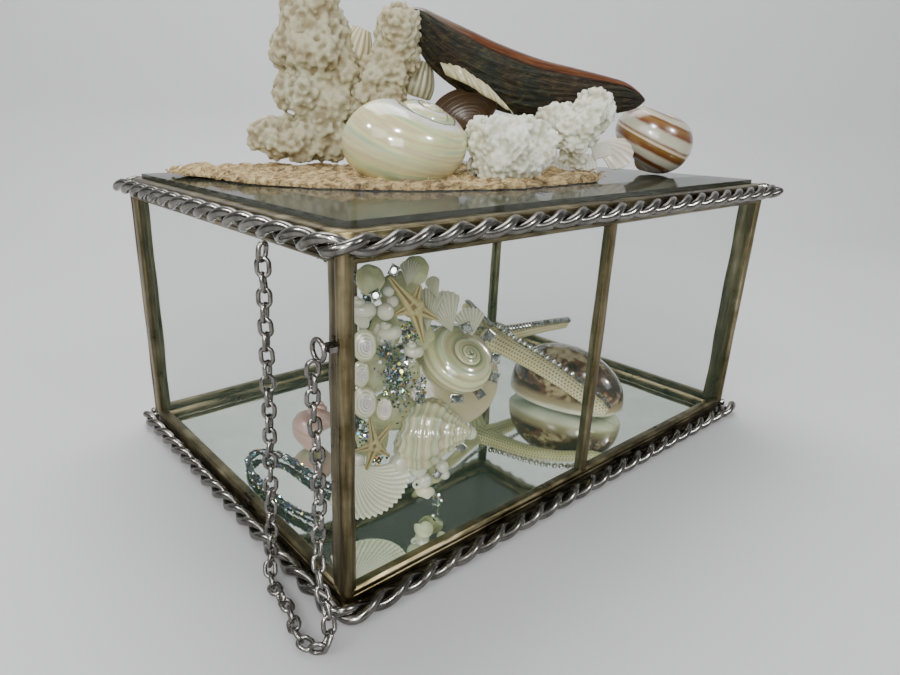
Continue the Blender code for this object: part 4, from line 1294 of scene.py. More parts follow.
def snail(name, px, py, wide, tall, node, axis, out):
    """A coiled shell on the crown, sized by its width in pixels."""
    mesh = Mesh()
    spiral(mesh, crown(px, py, out), axis, wide * size_at(px, py) * 0.58, 3.3, 2.1, 0.47, 0.50,
           1.20, steps=24, sides=18, start=2.0, fit=(1.0, 1.0, tall / wide))
    settle(mesh, px - wide / 2, px + wide / 2, py - tall / 2, py + tall / 2)
    make(name, mesh, WHITE_PEARL.mat, "box", (node,))


def button(name, px, py, wide, tall, node, out=0.3):
    """A low oval shell with rings round a tip that sits off its middle."""
    scale = size_at(px, py)
    rings, cols = 34, 40
    turn = TAU * np.arange(cols) / cols
    verts, shade = [], []
    for t in np.linspace(0.015, 1.0, rings):
        step = 0.020 * math.cos(t * 31.0)
        high = 0.42 * math.sqrt(max(0.0, 1.0 - 0.97 * t * t)) + step
        for a in turn:
            x = math.cos(a) * wide / 2 * t + 0.28 * wide / 2 * (1 - t)
            y = math.sin(a) * tall / 2 * t - 0.06 * tall * (1 - t)
            verts.append(crown(px, py, out) + (RIGHT * x + UP * y - AHEAD * high * wide / 2) * scale)
            shade.append(t)
    mesh = Mesh()
    mesh.add(verts, quads(rings, cols), shade)
    mesh.close(0, rings, cols)
    make(name, mesh, BUTTON, "box", (node,))


def build_snails():
    leaning = tilted(-0.40, 0.78, 0.42)
    upright_one = tilted(-0.2, 0.85, 0.45)
    snail("white_snail_upper", 364.3, 312.3, 25, 33, "small_snail_1", leaning, 0.5)
    snail("white_snail_middle", 389.4, 335, 25, 28, "small_snail_2", leaning, 0.8)
    snail("white_snail_lower", 411.2, 353.7, 24, 28.5, "small_snail_3", upright_one, 0.6)
    button("button_1", 364.4, 345.5, 25, 33, "button_shell_1")
    button("button_2", 360.5, 374.0, 18, 27, "button_shell_2")
    button("button_3", 364.5, 402.5, 25, 33, "button_shell_3")
    button("button_4", 383.8, 409.0, 17.5, 24, "button_shell_4", out=0.8)


build_snails()


def build_big_turban():
    mesh = Mesh()
    scale = size_at(456, 372)
    axis = tilted(0.40, 0.58, 0.78)
    spiral(mesh, crown(456.5, 362, -2.0), axis, 50 * scale * 1.02, 3.4, 2.05, 0.46, 0.46, 0.55,
           hand=-1, steps=56, sides=72, start=math.radians(205), cords=12, cord=0.020)
    settle(mesh, 422, 491, 323, 394)
    # the wide lip that shows as a crescent at the lower right; its tone of 0.62 falls on a dark line of
    # the painted groove shade, so the lip comes out darker
    balls(mesh, crown(449.5, 376, -6.5), 52 * scale, 5, axes=[tilted(0.1, 0.1, 0.98)], stretch=0.16,
          shade=0.6, tone=0.62)
    make("big_turban_shell", mesh, BIG_TURBAN.mat, "box", ("big_turban",))


build_big_turban()


def build_whelk():
    mesh = Mesh()
    scale = size_at(430, 433)
    spiral(mesh, crown(430, 434, 1.0), tilted(1.0, -0.02, 0.22), 33 * scale, 4.4, 1.66, 0.44, 0.62,
           1.45, steps=70, sides=70, ribs=11, rib=0.13, cords=15, cord=0.036,
           start=math.radians(100))
    settle(mesh, 388, 477, 402, 466)
    make("whelk_shell", mesh, PEARL.mat, "box", ("whelk",))


build_whelk()


def cockle(mesh, hinge, rim_way, side_way, out_way, length, spread, ribs, dome, per, steps=26,
           notch=0.035, bend=0.0, relief=0.045, grain=0.006):
    """A ribbed fan: ribs run from the hinge to a scalloped rim, over a domed back."""
    across = ribs * per + 1
    angle = np.linspace(-spread, spread, across)
    reach = np.linspace(0.02, 1.0, steps)
    rib = 0.5 + 0.5 * np.cos(np.linspace(-ribs, ribs, across) * math.pi)
    edge = length * (1.0 - 0.16 * np.abs(angle / spread) ** 2.2) * (1 + notch * (rib - 0.5))
    verts = np.zeros((steps, across, 3))
    shade = np.zeros((steps, across))
    for i, t in enumerate(reach):
        out = edge * t
        bulge = dome * (math.sin(math.pi * min(1.0, t * 0.62 + 0.06)) - 0.18 * t)
        bulge = bulge * (1 - 0.62 * np.abs(angle / spread) ** 2) + (rib - 0.5) * length * relief * t
        # fine growth ridges cross the ribs
        bulge = bulge + grain * length * math.cos(t * 88) * (0.4 + 0.6 * rib) * t
        turned = angle + bend * (t - 1.0)
        verts[i] = (hinge + rim_way * (out * np.cos(turned))[:, None]
                    + side_way * (out * np.sin(turned))[:, None] + out_way * bulge[:, None])
        # shade is high on the rib crests and low in the valleys, which the fan material paints darker:
        # painted shade
        shade[i] = 0.25 + 0.75 * rib
    thick = length * 0.055
    under = verts - out_way * thick * (0.4 + 0.6 * (1 - reach[:, None, None]))
    base = mesh.count
    total = steps * across
    # the underside gets shade 0.4, so it is painted darker: painted shade
    mesh.add(np.vstack((verts.reshape(-1, 3), under.reshape(-1, 3))),
             np.vstack((quads(steps, across, False, False)[:, ::-1],
                        quads(steps, across, False, False) + total)),
             np.concatenate((shade.ravel(), np.full(total, 0.4))),
             np.tile(np.repeat(reach, across), 2))
    rim = []
    for j in range(across - 1):
        a, b = (steps - 1) * across + j, (steps - 1) * across + j + 1
        rim.append((a, b, b + total, a + total))
    for i in range(steps - 1):
        a, b = i * across, (i + 1) * across
        rim.append((a, a + total, b + total, b)[::-1])
        rim.append((a + across - 1, a + total + across - 1, b + total + across - 1, b + across - 1))
    mesh.faces.append([[base + k for k in f] for f in rim])


def fan_look(name, pale, deep, rough=0.5):
    look = Look(name, rough, 0.0)
    rib, along = look.attr("shade"), look.attr("tone")
    cloud = look.noise(190.0, 4, 0.6)
    ring = look.noise(1.0, 3, 0.5, look.node("CombineXYZ", X=look.math("MULTIPLY", along, 16.0)))
    # rib crests come out pale, the valleys between them and the underside darker: painted shade; the
    # growth rings and cloud mixed in next are the shell's own colour
    body = look.mix(look.span(rib, 0.2, 0.75), deep, pale)
    look.colour(look.mix(look.math("MULTIPLY", ring, 0.4), body, look.mix(cloud, deep, pale)))
    look.bump(cloud, 0.2, 0.0002)
    return look.mat


FAN = fan_look("white_fan", (0.86, 0.86, 0.70), (0.46, 0.45, 0.28))
GREY_FAN = fan_look("grey_fan", (0.54, 0.53, 0.39), (0.32, 0.30, 0.19))


def build_fan():
    mesh = Mesh()
    hinge = crown(357, 462, 0.5)
    low = crown(388, 512, 2.5)
    rim_way = unit(low - hinge)
    out = unit(-AHEAD * 0.9 + UP * 0.25)
    out = unit(out - rim_way * np.dot(out, rim_way))
    side = np.cross(out, rim_way)
    cockle(mesh, hinge, rim_way, side, out, 18.0, math.radians(64), 21, 4.2, steps=60, per=8,
           notch=0.02, bend=0.55, relief=0.034, grain=0.011)
    mesh.keep_above(FLOOR + 0.4)
    make("fan", mesh, FAN, "box", ("fan_shell",), sharp=60)


build_fan()


def star_look():
    look = Look("small_star", 0.75, 0.0)
    height = look.attr("shade")
    grain = look.noise(420.0, 4, 0.6)
    # the underside comes out dark, the top lighter and the groove along each arm near black: painted
    # light and shade
    ridge = look.ramp(height, (0.0, (0.20, 0.15, 0.05)), (0.45, (0.42, 0.34, 0.13)),
                      (0.78, (0.55, 0.46, 0.20)), (0.90, (0.17, 0.11, 0.03)))
    look.colour(look.mix(0.3, ridge, look.ramp(grain, (0.3, 0.5), (0.7, 1.0)), "MULTIPLY"))
    look.bump(grain, 0.5, 0.0003)
    return look.mat


SMALL_STAR = star_look()


def small_star(name, centre, tips, node, width, out):
    """Five slim arms with a groove along each, and rows of grains beside it."""
    mesh = Mesh()
    middle = crown(*centre, out)
    for px, py in tips:
        tip = crown(px, py, out - 0.6)
        way = unit(tip - middle)
        side = unit(np.cross(FACE, way))
        up = np.cross(way, side)
        length = np.linalg.norm(tip - middle)
        rows, cols = 22, 16
        verts = np.zeros((rows, cols, 3))
        shade = np.zeros((rows, cols))
        for i, t in enumerate(np.linspace(-0.05, 1.0, rows)):
            wide = width * (1.0 - 0.78 * max(t, 0)) * (1 + 0.55 * math.exp(-max(t, 0) * 9)) + 0.10
            for j in range(cols):
                a = TAU * j / cols
                c, s = math.cos(a), math.sin(a)
                groove = 0.24 * math.exp(-(c / 0.16) ** 2) * (1 if s > 0 else 0)
                verts[i, j] = (middle + way * length * t + side * wide * c
                               + up * wide * (0.80 * s - groove))
                # the groove gets 0.98 and is painted near black, and the top side is painted lighter than
                # the underside: painted shade and painted light
                shade[i, j] = 0.98 if (s > 0 and abs(c) < 0.2) else 0.35 + 0.45 * max(0.0, s)
        mesh.add(verts, quads(rows, cols), shade.ravel())
        mesh.faces.append([[mesh.count - cols + j for j in range(cols)][::-1]])
        for t in np.linspace(0.08, 0.92, 15):
            wide = width * (1.0 - 0.78 * t) + 0.10
            for k in (-0.55, 0.55):
                spot = middle + way * length * t + side * wide * k + up * wide * 0.62
                balls(mesh, spot, 0.17 + 0.05 * (1 - t), 1, shade=0.8)
    make(name, mesh, SMALL_STAR, "box", (node,))


small_star("star_upper", (413.6, 306.8),
           ((388.7, 276.4), (420.1, 285.1), (437.5, 319.3), (423.4, 342.0), (395.2, 314.4)),
           "small_star_upper", 2.1, 2.6)
small_star("star_lower", (374.7, 445.0),
           ((369.8, 417.7), (392.5, 423.3), (389.4, 456.3), (364.5, 474.5), (353.9, 451.4)),
           "small_star_lower", 1.5, 2.4)


# Pearls, cut stones and glitter
def bead_look():
    look = Look("pearls", 0.22, 0.0)
    cloud = look.noise(240.0, 4, 0.6)
    look.colour(look.ramp(cloud, (0.3, (0.62, 0.61, 0.46)), (0.7, (0.76, 0.76, 0.62))))
    look.set(coat_weight=0.6, coat_roughness=0.1, subsurface_weight=0.15, subsurface_scale=0.001)
    look.bump(look.noise(800.0, 3, 0.6), 0.12, 0.0001)
    return look.mat


BEAD = bead_look()
GEM = Look("cut_stone", 0.06, 1.0, (0.62, 0.63, 0.62))
# dark and light patches in the colour stand in for what the facets reflect: painted reflection
GEM.colour(GEM.ramp(GEM.noise(330.0, 2, 0.5), (0.35, (0.10, 0.10, 0.095)), (0.6, (0.75, 0.76, 0.74))))
GEM = GEM.mat
SETTING = wire_look("stone_setting", (0.12, 0.115, 0.10), (0.45, 0.44, 0.40), 0.22, 500.0)
BALL_CHAIN = wire_look("ball_chain", (0.35, 0.35, 0.33), (0.62, 0.61, 0.58), 0.13, 500.0)


def stone(gems, metal, spot, face, size, roll, long=1.0):
    """A cut stone in a square metal cup with four claws."""
    rows = basis(face, roll)
    ring = [(math.cos(a) * long, math.sin(a)) for a in np.radians(np.arange(8) * 45 + 22.5)]
    ring = np.array(ring) * size * 0.5
    verts = []
    for scale, height in ((1.0, 0.10), (1.0, 0.28), (0.62, 0.46)):
        verts += [(x * scale, y * scale, height * size) for x, y in ring]
    gems.add(np.array(verts) @ rows + spot, quads(3, 8))
    gems.faces.append([[gems.count - 8 + j for j in range(8)]])
    half = size * 0.52
    wall = [(-half * long, -half), (half * long, -half), (half * long, half), (-half * long, half)]
    cup = []
    for scale, height in ((0.80, -0.30), (1.0, -0.20), (1.04, 0.12), (0.90, 0.16), (0.88, 0.0)):
        cup += [(x * scale, y * scale, height * size) for x, y in wall]
    metal.add(np.array(cup) @ rows + spot, quads(5, 4))
    metal.faces.append([[metal.count - 20 + j for j in (3, 2, 1, 0)]])
    for x, y in wall:
        foot = np.array((x * 0.95, y * 0.95, -0.15 * size))
        top = np.array((x * 0.72, y * 0.72, 0.36 * size))
        tube(metal, np.array([foot, foot * (1, 1, 0) + (0, 0, 0.2 * size), top]) @ rows + spot,
             size * 0.085, 6)


def build_beads():
    for name, px, py, r, node in (("pearl_large", 399.5, 463.3, 10.5, "pearl_1"),
                                  ("pearl_medium", 418.0, 468.2, 9.1, "pearl_2"),
                                  ("pearl_low", 424.1, 480.1, 7.7, "pearl_3")):
        mesh = Mesh()
        balls(mesh, crown(px, py, 1.2), r * size_at(px, py), 4)
        make(name, mesh, BEAD, "box", (node,))
    mesh = Mesh()
    for px, py, r, out in ((385.7, 311.7, 8.9, 1.6), (388.9, 291.1, 5.8, 0.6),
                           (393.0, 301.5, 6.2, 0.2), (358.1, 459.0, 7.0, 0.6),
                           (442.3, 466.5, 6.8, 1.6), (444.5, 474.5, 5.2, 1.4),
                           (470.0, 433.0, 7.0, 0.2)):
        balls(mesh, crown(px, py, out), r * size_at(px, py), 3)
    ring = crown(417.0, 484.3, 2.0)
    rows = basis(tilted(0.3, 0.0, 0.9))
    loop = [ring + (rows[0] * math.cos(t) + rows[1] * math.sin(t)) * 1.05
            for t in np.linspace(0, TAU, 20, endpoint=False)]
    tube(mesh, loop, 0.55, 10, closed=True)
    make("loose_pearls", mesh, BEAD, "box", ())

    gems, metal = Mesh(), Mesh()
    spots = ((375.7, 295.4, 3.6, 0.5, 1.0), (394.0, 270.5, 3.2, 1.1, 1.2), (466.2, 328.2, 3.9, 0.4, 1.0),
             (488.9, 335.5, 3.9, 0.9, 1.0), (495.6, 358.3, 3.4, 1.5, 1.2), (494.3, 377.0, 3.4, 1.2, 1.2),
             (479.6, 393.1, 3.8, 0.6, 1.0), (456.8, 398.5, 3.3, 0.05, 1.5), (437.4, 473.8, 3.2, 0.9, 1.2),
             (460.5, 446.4, 3.3, 2.5, 1.4), (419.0, 395.0, 3.0, 0.2, 1.0))
    for px, py, size, roll, long in spots:
        stone(gems, metal, crown(px, py, 4.2 if 440 < px < 500 and py < 420 else 2.2), FACE,
              size * 0.74, roll, long)
    make("cut_stones", gems, GEM, "box", (), smooth=False)
    make("stone_settings", metal, SETTING, "box", (), sharp=35)


build_beads()


def glitter_look():
    look = Look("glitter", 0.25, 1.0)
    tone = look.attr("tone")
    look.colour(look.ramp(tone, (0.0, (0.10, 0.11, 0.12)), (0.55, (0.34, 0.36, 0.38)),
                          (0.74, (0.75, 0.76, 0.74)), (0.86, (0.22, 0.17, 0.80)),
                          (0.885, (0.20, 0.62, 0.85)), (0.91, (0.45, 0.85, 0.25)),
                          (0.94, (0.95, 0.85, 0.20)), (0.975, (0.95, 0.40, 0.15)), hold=True))
    return look.mat


GLITTER = glitter_look()


def sparkle(mesh, spots, seed, small=0.16, large=0.42):
    """Flakes of glitter, most of them dark and a few bright and coloured."""
    rng = np.random.default_rng(seed)
    flake = np.array([(math.cos(a), math.sin(a), 0.0) for a in np.radians(np.arange(6) * 60)])
    for spot in spots:
        tone = rng.random()
        size = rng.uniform(small, large) * (1.35 if tone > 0.66 else 1.0)
        way = unit(-AHEAD + rng.normal(0, 0.75, 3))
        rows = basis(way, rng.uniform(0, 3))
        top = flake * size @ rows + spot
        low = (flake * size + (0, 0, -0.12)) @ rows + spot
        mesh.add(np.vstack((top, low)), quads(2, 6)[:, ::-1], 0.5, tone)
        mesh.faces.append([[mesh.count - 12 + j for j in range(6)]])


def build_cord():
    loop = [(11, 30, 1.8), (7.1, 48, 1.8), (8.1, 71, 1.8), (15.1, 81, 1.8), (22.1, 72, 1.8),
            (23.1, 56, 1.8), (25.0, 42, 2.6), (27.6, 37.5, 10.6), (28.4, 35.5, 28.6),
            (29.1, 31.5, 58.6), (28.1, 31, 72.6), (25.6, 39, 77.6), (23.1, 47, 80.6)]
    path = curve([(x - HX, y - HY, z + 3.4) for x, y, z in loop], 0.6)
    mesh = Mesh()
    rng = np.random.default_rng(21)
    radius = 1.15 + 0.16 * waves(path, 4.0, 3)
    tube(mesh, path, radius, 12, tone=0.3)
    _, up, side = carry(path)
    spots = []
    for _ in range(1500):
        i = rng.integers(len(path))
        a = rng.uniform(0, TAU)
        spots.append(path[i] + (up[i] * math.cos(a) + side[i] * math.sin(a)) * (radius[i] + 0.06))
    sparkle(mesh, spots, 22)
    make("glitter_rope", mesh, GLITTER, "box", ("glitter_cord",), smooth=False)
    patch = Mesh()
    spots = []
    for px, py, wide, tall, count in (
            (398, 378, 15, 26, 520), (386, 352, 8, 9, 120), (363, 430, 5, 12, 90),
            (376, 460, 8, 4, 60), (409, 335, 8, 10, 140), (421, 392, 5, 14, 110),
            (437, 500, 5, 6, 60)):
        for _ in range(count):
            x, y = rng.normal(0, 0.5, 2)
            spots.append(crown(px + wide * x, py + tall * y, rng.uniform(-0.6, 1.2)))
    sparkle(patch, spots, 23, 0.20, 0.48)
    make("glitter_patches", patch, GLITTER, "box", (), smooth=False)


build_cord()


def plate_look():
    look = Look("olive_plates", 0.45, 0.0)
    cloud = look.noise(210.0, 5, 0.6, warp=0.6)
    look.colour(look.ramp(cloud, (0.32, (0.33, 0.33, 0.155)), (0.66, (0.52, 0.53, 0.28))))
    look.set(coat_weight=0.25, coat_roughness=0.2, subsurface_weight=0.1, subsurface_scale=0.001)
    look.bump(cloud, 0.25, 0.0003)
    return look.mat


OLIVE = plate_look()
PLATE_THICK = 0.7


def plate(mesh, px, py, wide, tall, out, seed):
    """A thin, slightly dished round plate of shell."""
    scale = size_at(px, py)
    middle = crown(px, py, out)
    rings, cols = 9, 40
    turn = TAU * np.arange(cols) / cols
    ragged = 1 + 0.03 * np.sin(3 * turn + seed) + 0.02 * np.sin(7 * turn + 2 * seed)
    top = []
    for t in np.linspace(0.04, 1.0, rings):
        drop = -0.10 * t * t * wide * scale - (0.5 * PLATE_THICK if t > 0.99 else 0)
        for a, g in zip(turn, ragged):
            flat = RIGHT * math.cos(a) * wide / 2 + UP * math.sin(a) * tall / 2
            top.append(middle + flat * g * t * scale - AHEAD * drop)
    top = np.array(top)
    low = top + AHEAD * PLATE_THICK
    base = mesh.count
    total = rings * cols
    grid = quads(rings, cols)
    mesh.add(np.vstack((top, low)), np.vstack((grid, grid[:, ::-1] + total)))
    edge = base + total - cols
    rim = [(edge + j, edge + (j + 1) % cols, edge + total + (j + 1) % cols, edge + total + j)
           for j in range(cols)]
    mesh.faces.append([f[::-1] for f in rim])
    mesh.faces.append([[base + j for j in range(cols)], [base + total + j for j in range(cols)][::-1]])


def build_plates():
    mesh = Mesh()
    plate(mesh, 369.7, 279.0, 29, 31, 0.8, seed=1)
    make("round_plate", mesh, OLIVE, "box", ("top_shell",), sharp=50)
    mesh = Mesh()
    for n, (px, py, wide, tall, out) in enumerate((
            (415.8, 270.0, 27, 31, -1.5), (398, 372, 44, 50, -3.2), (374, 372, 34, 44, -3.0),
            (392, 412, 50, 40, -3.2), (380, 330, 44, 50, -3.6), (398, 292, 40, 44, -3.8),
            (372, 440, 34, 40, -3.4), (418, 338, 34, 40, -4.0), (433, 470, 26, 30, -3.0))):
        plate(mesh, px, py, wide, tall, out, seed=n)
    make("backing_plates", mesh, OLIVE, "box", (), sharp=50)


build_plates()


def build_ribbed():
    """The ribbed shells at the top right of the crown, and the small cone at its foot."""
    mesh = Mesh()
    for px, py, way, length, spread, dome in (
            (427.0, 331.0, (0.05, 1.0), 12.5, 24, 2.0), (452, 332, (-0.35, 0.9), 12.5, 34, 2.2),
            (472, 336, (-0.1, 0.75), 8.5, 40, 2.0), (407, 287, (0.15, 0.95), 7.5, 28, 1.6),
            (438, 300, (-0.3, 0.95), 7.0, 22, 1.4)):
        hinge = crown(px, py, 0.4)
        rim = unit(RIGHT * way[0] + UP * way[1])
        out = unit(-AHEAD - rim * np.dot(-AHEAD, rim))
        cockle(mesh, hinge, rim, np.cross(out, rim), out, length, math.radians(spread), 9, dome,
               steps=16, per=6)
    make("ribbed_shells", mesh, GREY_FAN, "box", ("grey_ribbed_shell",), sharp=60)
    mesh = Mesh()
    scale = size_at(426, 492)
    spiral(mesh, crown(426.5, 491, 1.6), tilted(0.16, -1.0, 0.25), 11.5 * scale, 3.6, 1.9, 0.46,
           0.55, 0.85, steps=28, sides=18)
    make("cone", mesh, CREAM.mat, "box", ("cone_shell",))


build_ribbed()


# The large starfish: five netted arms, each with a chain of stones or balls along one edge
def netted_look():
    look = Look("dried_starfish", 0.75, 0.0)
    height = look.attr("shade")
    stain = look.noise(70.0, 4, 0.6)
    pale = look.mix(look.span(stain, 0.4, 0.65), (0.86, 0.80, 0.48), (0.74, 0.64, 0.33))
    # low shade comes out dark brown: painted shade in the pits of the net and between the bumps on the
    # middle
    look.colour(look.mix(look.span(height, 0.15, 0.75), (0.15, 0.105, 0.04), pale))
    look.bump(look.noise(900.0, 3, 0.6), 0.25, 0.0002)
    return look.mat


# a bend on the way, the tip, the width, and what runs along the edge
ARMS = [((31.5, -27, 22.5), (35.5, -54, 12.5), 8.0, "balls"),
        ((60, 6, 27), (91, 9, 23), 7.6, "stones"),
        ((47, 30, 27), (60, 52, 28), 6.4, "stones"),
        ((4, -1, 28), (-25, -8, 32), 4.8, "stones"),
        ((15, 32, 27), (2, 52, 30), 4.8, "stones")]


def build_starfish():
    mesh, ballchain, gems, metal = Mesh(), Mesh(), Mesh(), Mesh()
    heart = np.array((31.0, 8.0, 27.5))
    top = unit((-0.20, -0.22, 0.95))
    for bend, tip, wide, kind in ARMS:
        path = curve([heart, bend, tip], 0.40)
        count = len(path)
        along = units(np.gradient(path, axis=0))
        side = units(np.cross(top, along))
        up = np.cross(along, side)
        part = np.linspace(0, 1, count)
        half = wide * (0.62 - 0.22 * part + 0.30 * np.exp(-part * 9))
        half *= np.clip((1.02 - part) * 11, 0, 1) ** 0.5
        cols = 64
        run = distances(path)
        verts = np.zeros((count, cols, 3))
        shade = np.zeros((count, cols))
        for j in range(cols):
            a = TAU * j / cols
            c, s = math.cos(a), math.sin(a)
            # a net of pale plates with a pit in each mesh; the pit is painted dark: painted shade
            row = 14.0 * j / cols
            stagger = 0.5 * (int(round(row)) % 2)
            off = (run / 1.5 + stagger) % 1.0 - 0.5
            pit = np.exp(-(off / 0.31) ** 2 - ((row - round(row)) / 0.34) ** 2)
            wide_here = half * np.sign(c) * abs(c) ** 0.8
            high = half * (0.72 * s if s > 0 else 0.50 * s) - 0.30 * pit
            verts[:, j] = path + side * wide_here[:, None] + up * high[:, None]
            shade[:, j] = 1.0 - pit
        mesh.add(verts, quads(count, cols), shade.ravel())
        mesh.faces.append([[mesh.count - cols + j for j in range(cols)][::-1]])
        # the chain along one edge
        step = 3.1 if kind == "balls" else 2.1
        sign = 1.0 if kind == "balls" else -1.0
        if np.dot(side[count // 2] * sign, RIGHT + UP) < 0:
            sign = -sign
        for at in np.arange(3.5, run[-1] - 0.5, step):
            i = min(count - 1, int(np.searchsorted(run, at)))
            spot = path[i] + (side[i] * sign * 0.58 + up[i] * 0.98) * half[i] - AHEAD * 1.5
            if kind == "balls" and at < run[-1] * 0.72:
                balls(ballchain, spot, 1.25, 3)
                tube(ballchain, [spot - along[i] * 1.3, spot + along[i] * 1.3], 0.35, 6)
            else:
                face = unit(up[i] * 0.7 + side[i] * sign * 0.6)
                stone(gems, metal, spot, face, 2.0, 0.3)
    # the middle gets shade 0.3 and is painted dark between its pale bumps: painted shade
    balls(mesh, heart, 4.6, 3, axes=[top], stretch=0.62, shade=0.3)
    places, normals, _ = scatter([(*heart, 4.6)], 1.2, 5)
    for spot, way in zip(places, normals):
        if np.dot(way, top) > 0:
            balls(mesh, spot - top * np.dot(spot - heart, top) * 0.38, 0.42, 1, shade=0.9)
    make("starfish", mesh, netted_look(), "box", ("starfish_large",))
    make("starfish_ball_chain", ballchain, BALL_CHAIN, "box", ())
    make("starfish_stones", gems, GEM, "box", (), smooth=False)
    make("starfish_settings", metal, SETTING, "box", (), sharp=35)


build_starfish()


def cowrie_look():
    look = Look("cowrie", 0.14, 0.0)
    height = look.attr("shade")
    blot = look.noise(85.0, 4, 0.6, look.where((1.0, 0.7, 1.0)), 0.6)
    spot = look.noise(210.0, 3, 0.5, None, 0.4)
    mottle = look.ramp(look.math("ADD", look.math("MULTIPLY", blot, 0.7),
                                 look.math("MULTIPLY", spot, 0.3)),
                       (0.44, (0.030, 0.011, 0.006)), (0.515, (0.125, 0.045, 0.022)),
                       (0.55, (0.34, 0.255, 0.13)), (0.66, (0.62, 0.53, 0.33)))
    belly = look.ramp(height, (0.0, (0.86, 0.84, 0.72)), (0.10, (0.76, 0.72, 0.55)),
                      (0.17, (0.40, 0.33, 0.19)), (0.30, (0.26, 0.19, 0.10)))
    look.colour(look.mix(look.span(height, 0.26, 0.34), belly, mottle))
    look.set(coat_weight=0.9, coat_roughness=0.05)
    return look.mat


def build_cowrie():
    mesh = Mesh()
    rows_n, cols = 60, 72
    centre = np.array((48.0, -25.0, 0.0))
    turn = math.radians(-80)
    along = np.array((math.cos(turn), math.sin(turn), 0.0))
    side = np.array((-along[1], along[0], 0.0))
    verts = np.zeros((rows_n, cols, 3))
    shade = np.zeros((rows_n, cols))
    for i, t in enumerate(np.linspace(0.002, 0.998, rows_n)):
        x = math.cos(math.pi * t)
        ring = math.sin(math.pi * t) ** 0.85
        wide = 15.8 * ring * (1 - 0.10 * x)
        tall = 13.6 * ring * (1 - 0.06 * x)
        for j in range(cols):
            a = TAU * j / cols
            c, s = math.cos(a), math.sin(a)
            if s > 0:
                z = tall * s ** 0.92 * 1.58
            else:
                # a flat belly with a toothed slit along it
                slit = math.exp(-(c / 0.07) ** 2)
                teeth = 0.25 * math.sin(i * 2.1) * math.exp(-(abs(c) - 0.16) ** 2 / 0.01)
                z = -4.2 * ring * min(1.0, abs(s) * 1.5) ** 0.6 + slit * 1.6 * ring + teeth
            verts[i, j] = centre + along * 25.5 * x + side * wide * c + np.array((0, 0, 7.4 + z))
            shade[i, j] = (z + 4.2) / 25.0
    verts[:, :, 2] += FLOOR + GAP - verts[:, :, 2].min()
    mesh.add(verts, quads(rows_n, cols), shade.ravel())
    mesh.close(0, rows_n, cols, outward=False)
    make("cowrie_shell", mesh, cowrie_look(), "box", ("cowrie",))


build_cowrie()


def pink_look():
    look = Look("pink_shell", 0.35, 0.0)
    across = look.attr("tone")
    cloud = look.noise(60.0, 4, 0.6)
    band = look.ramp(look.math("ADD", across, look.math("MULTIPLY", cloud, 0.12)),
                     (0.10, (0.56, 0.36, 0.31)), (0.30, (0.42, 0.21, 0.15)),
                     (0.42, (0.60, 0.42, 0.36)), (0.60, (0.50, 0.28, 0.22)),
                     (0.75, (0.50, 0.46, 0.25)), (0.90, (0.58, 0.38, 0.33)))
    look.colour(band)
    look.set(coat_weight=0.3, coat_roughness=0.2)
    look.bump(look.noise(260.0, 4, 0.6), 0.2, 0.0003)
    return look.mat


def build_pink():
    mesh = Mesh()
    spiral(mesh, (-60.5, 9.0, 15.5), unit((0.35, 0.1, 0.92)), 10.4, 3.6, 2.0, 0.46, 0.62, 1.25,
           steps=44, sides=30, start=2.0, cords=9, cord=0.02)
    low = mesh.lowest()
    for part in mesh.verts:
        part[:, 2] += FLOOR + GAP - low
    make("pink_spiral_shell", mesh, pink_look(), "box", ("pink_shell",))


build_pink()


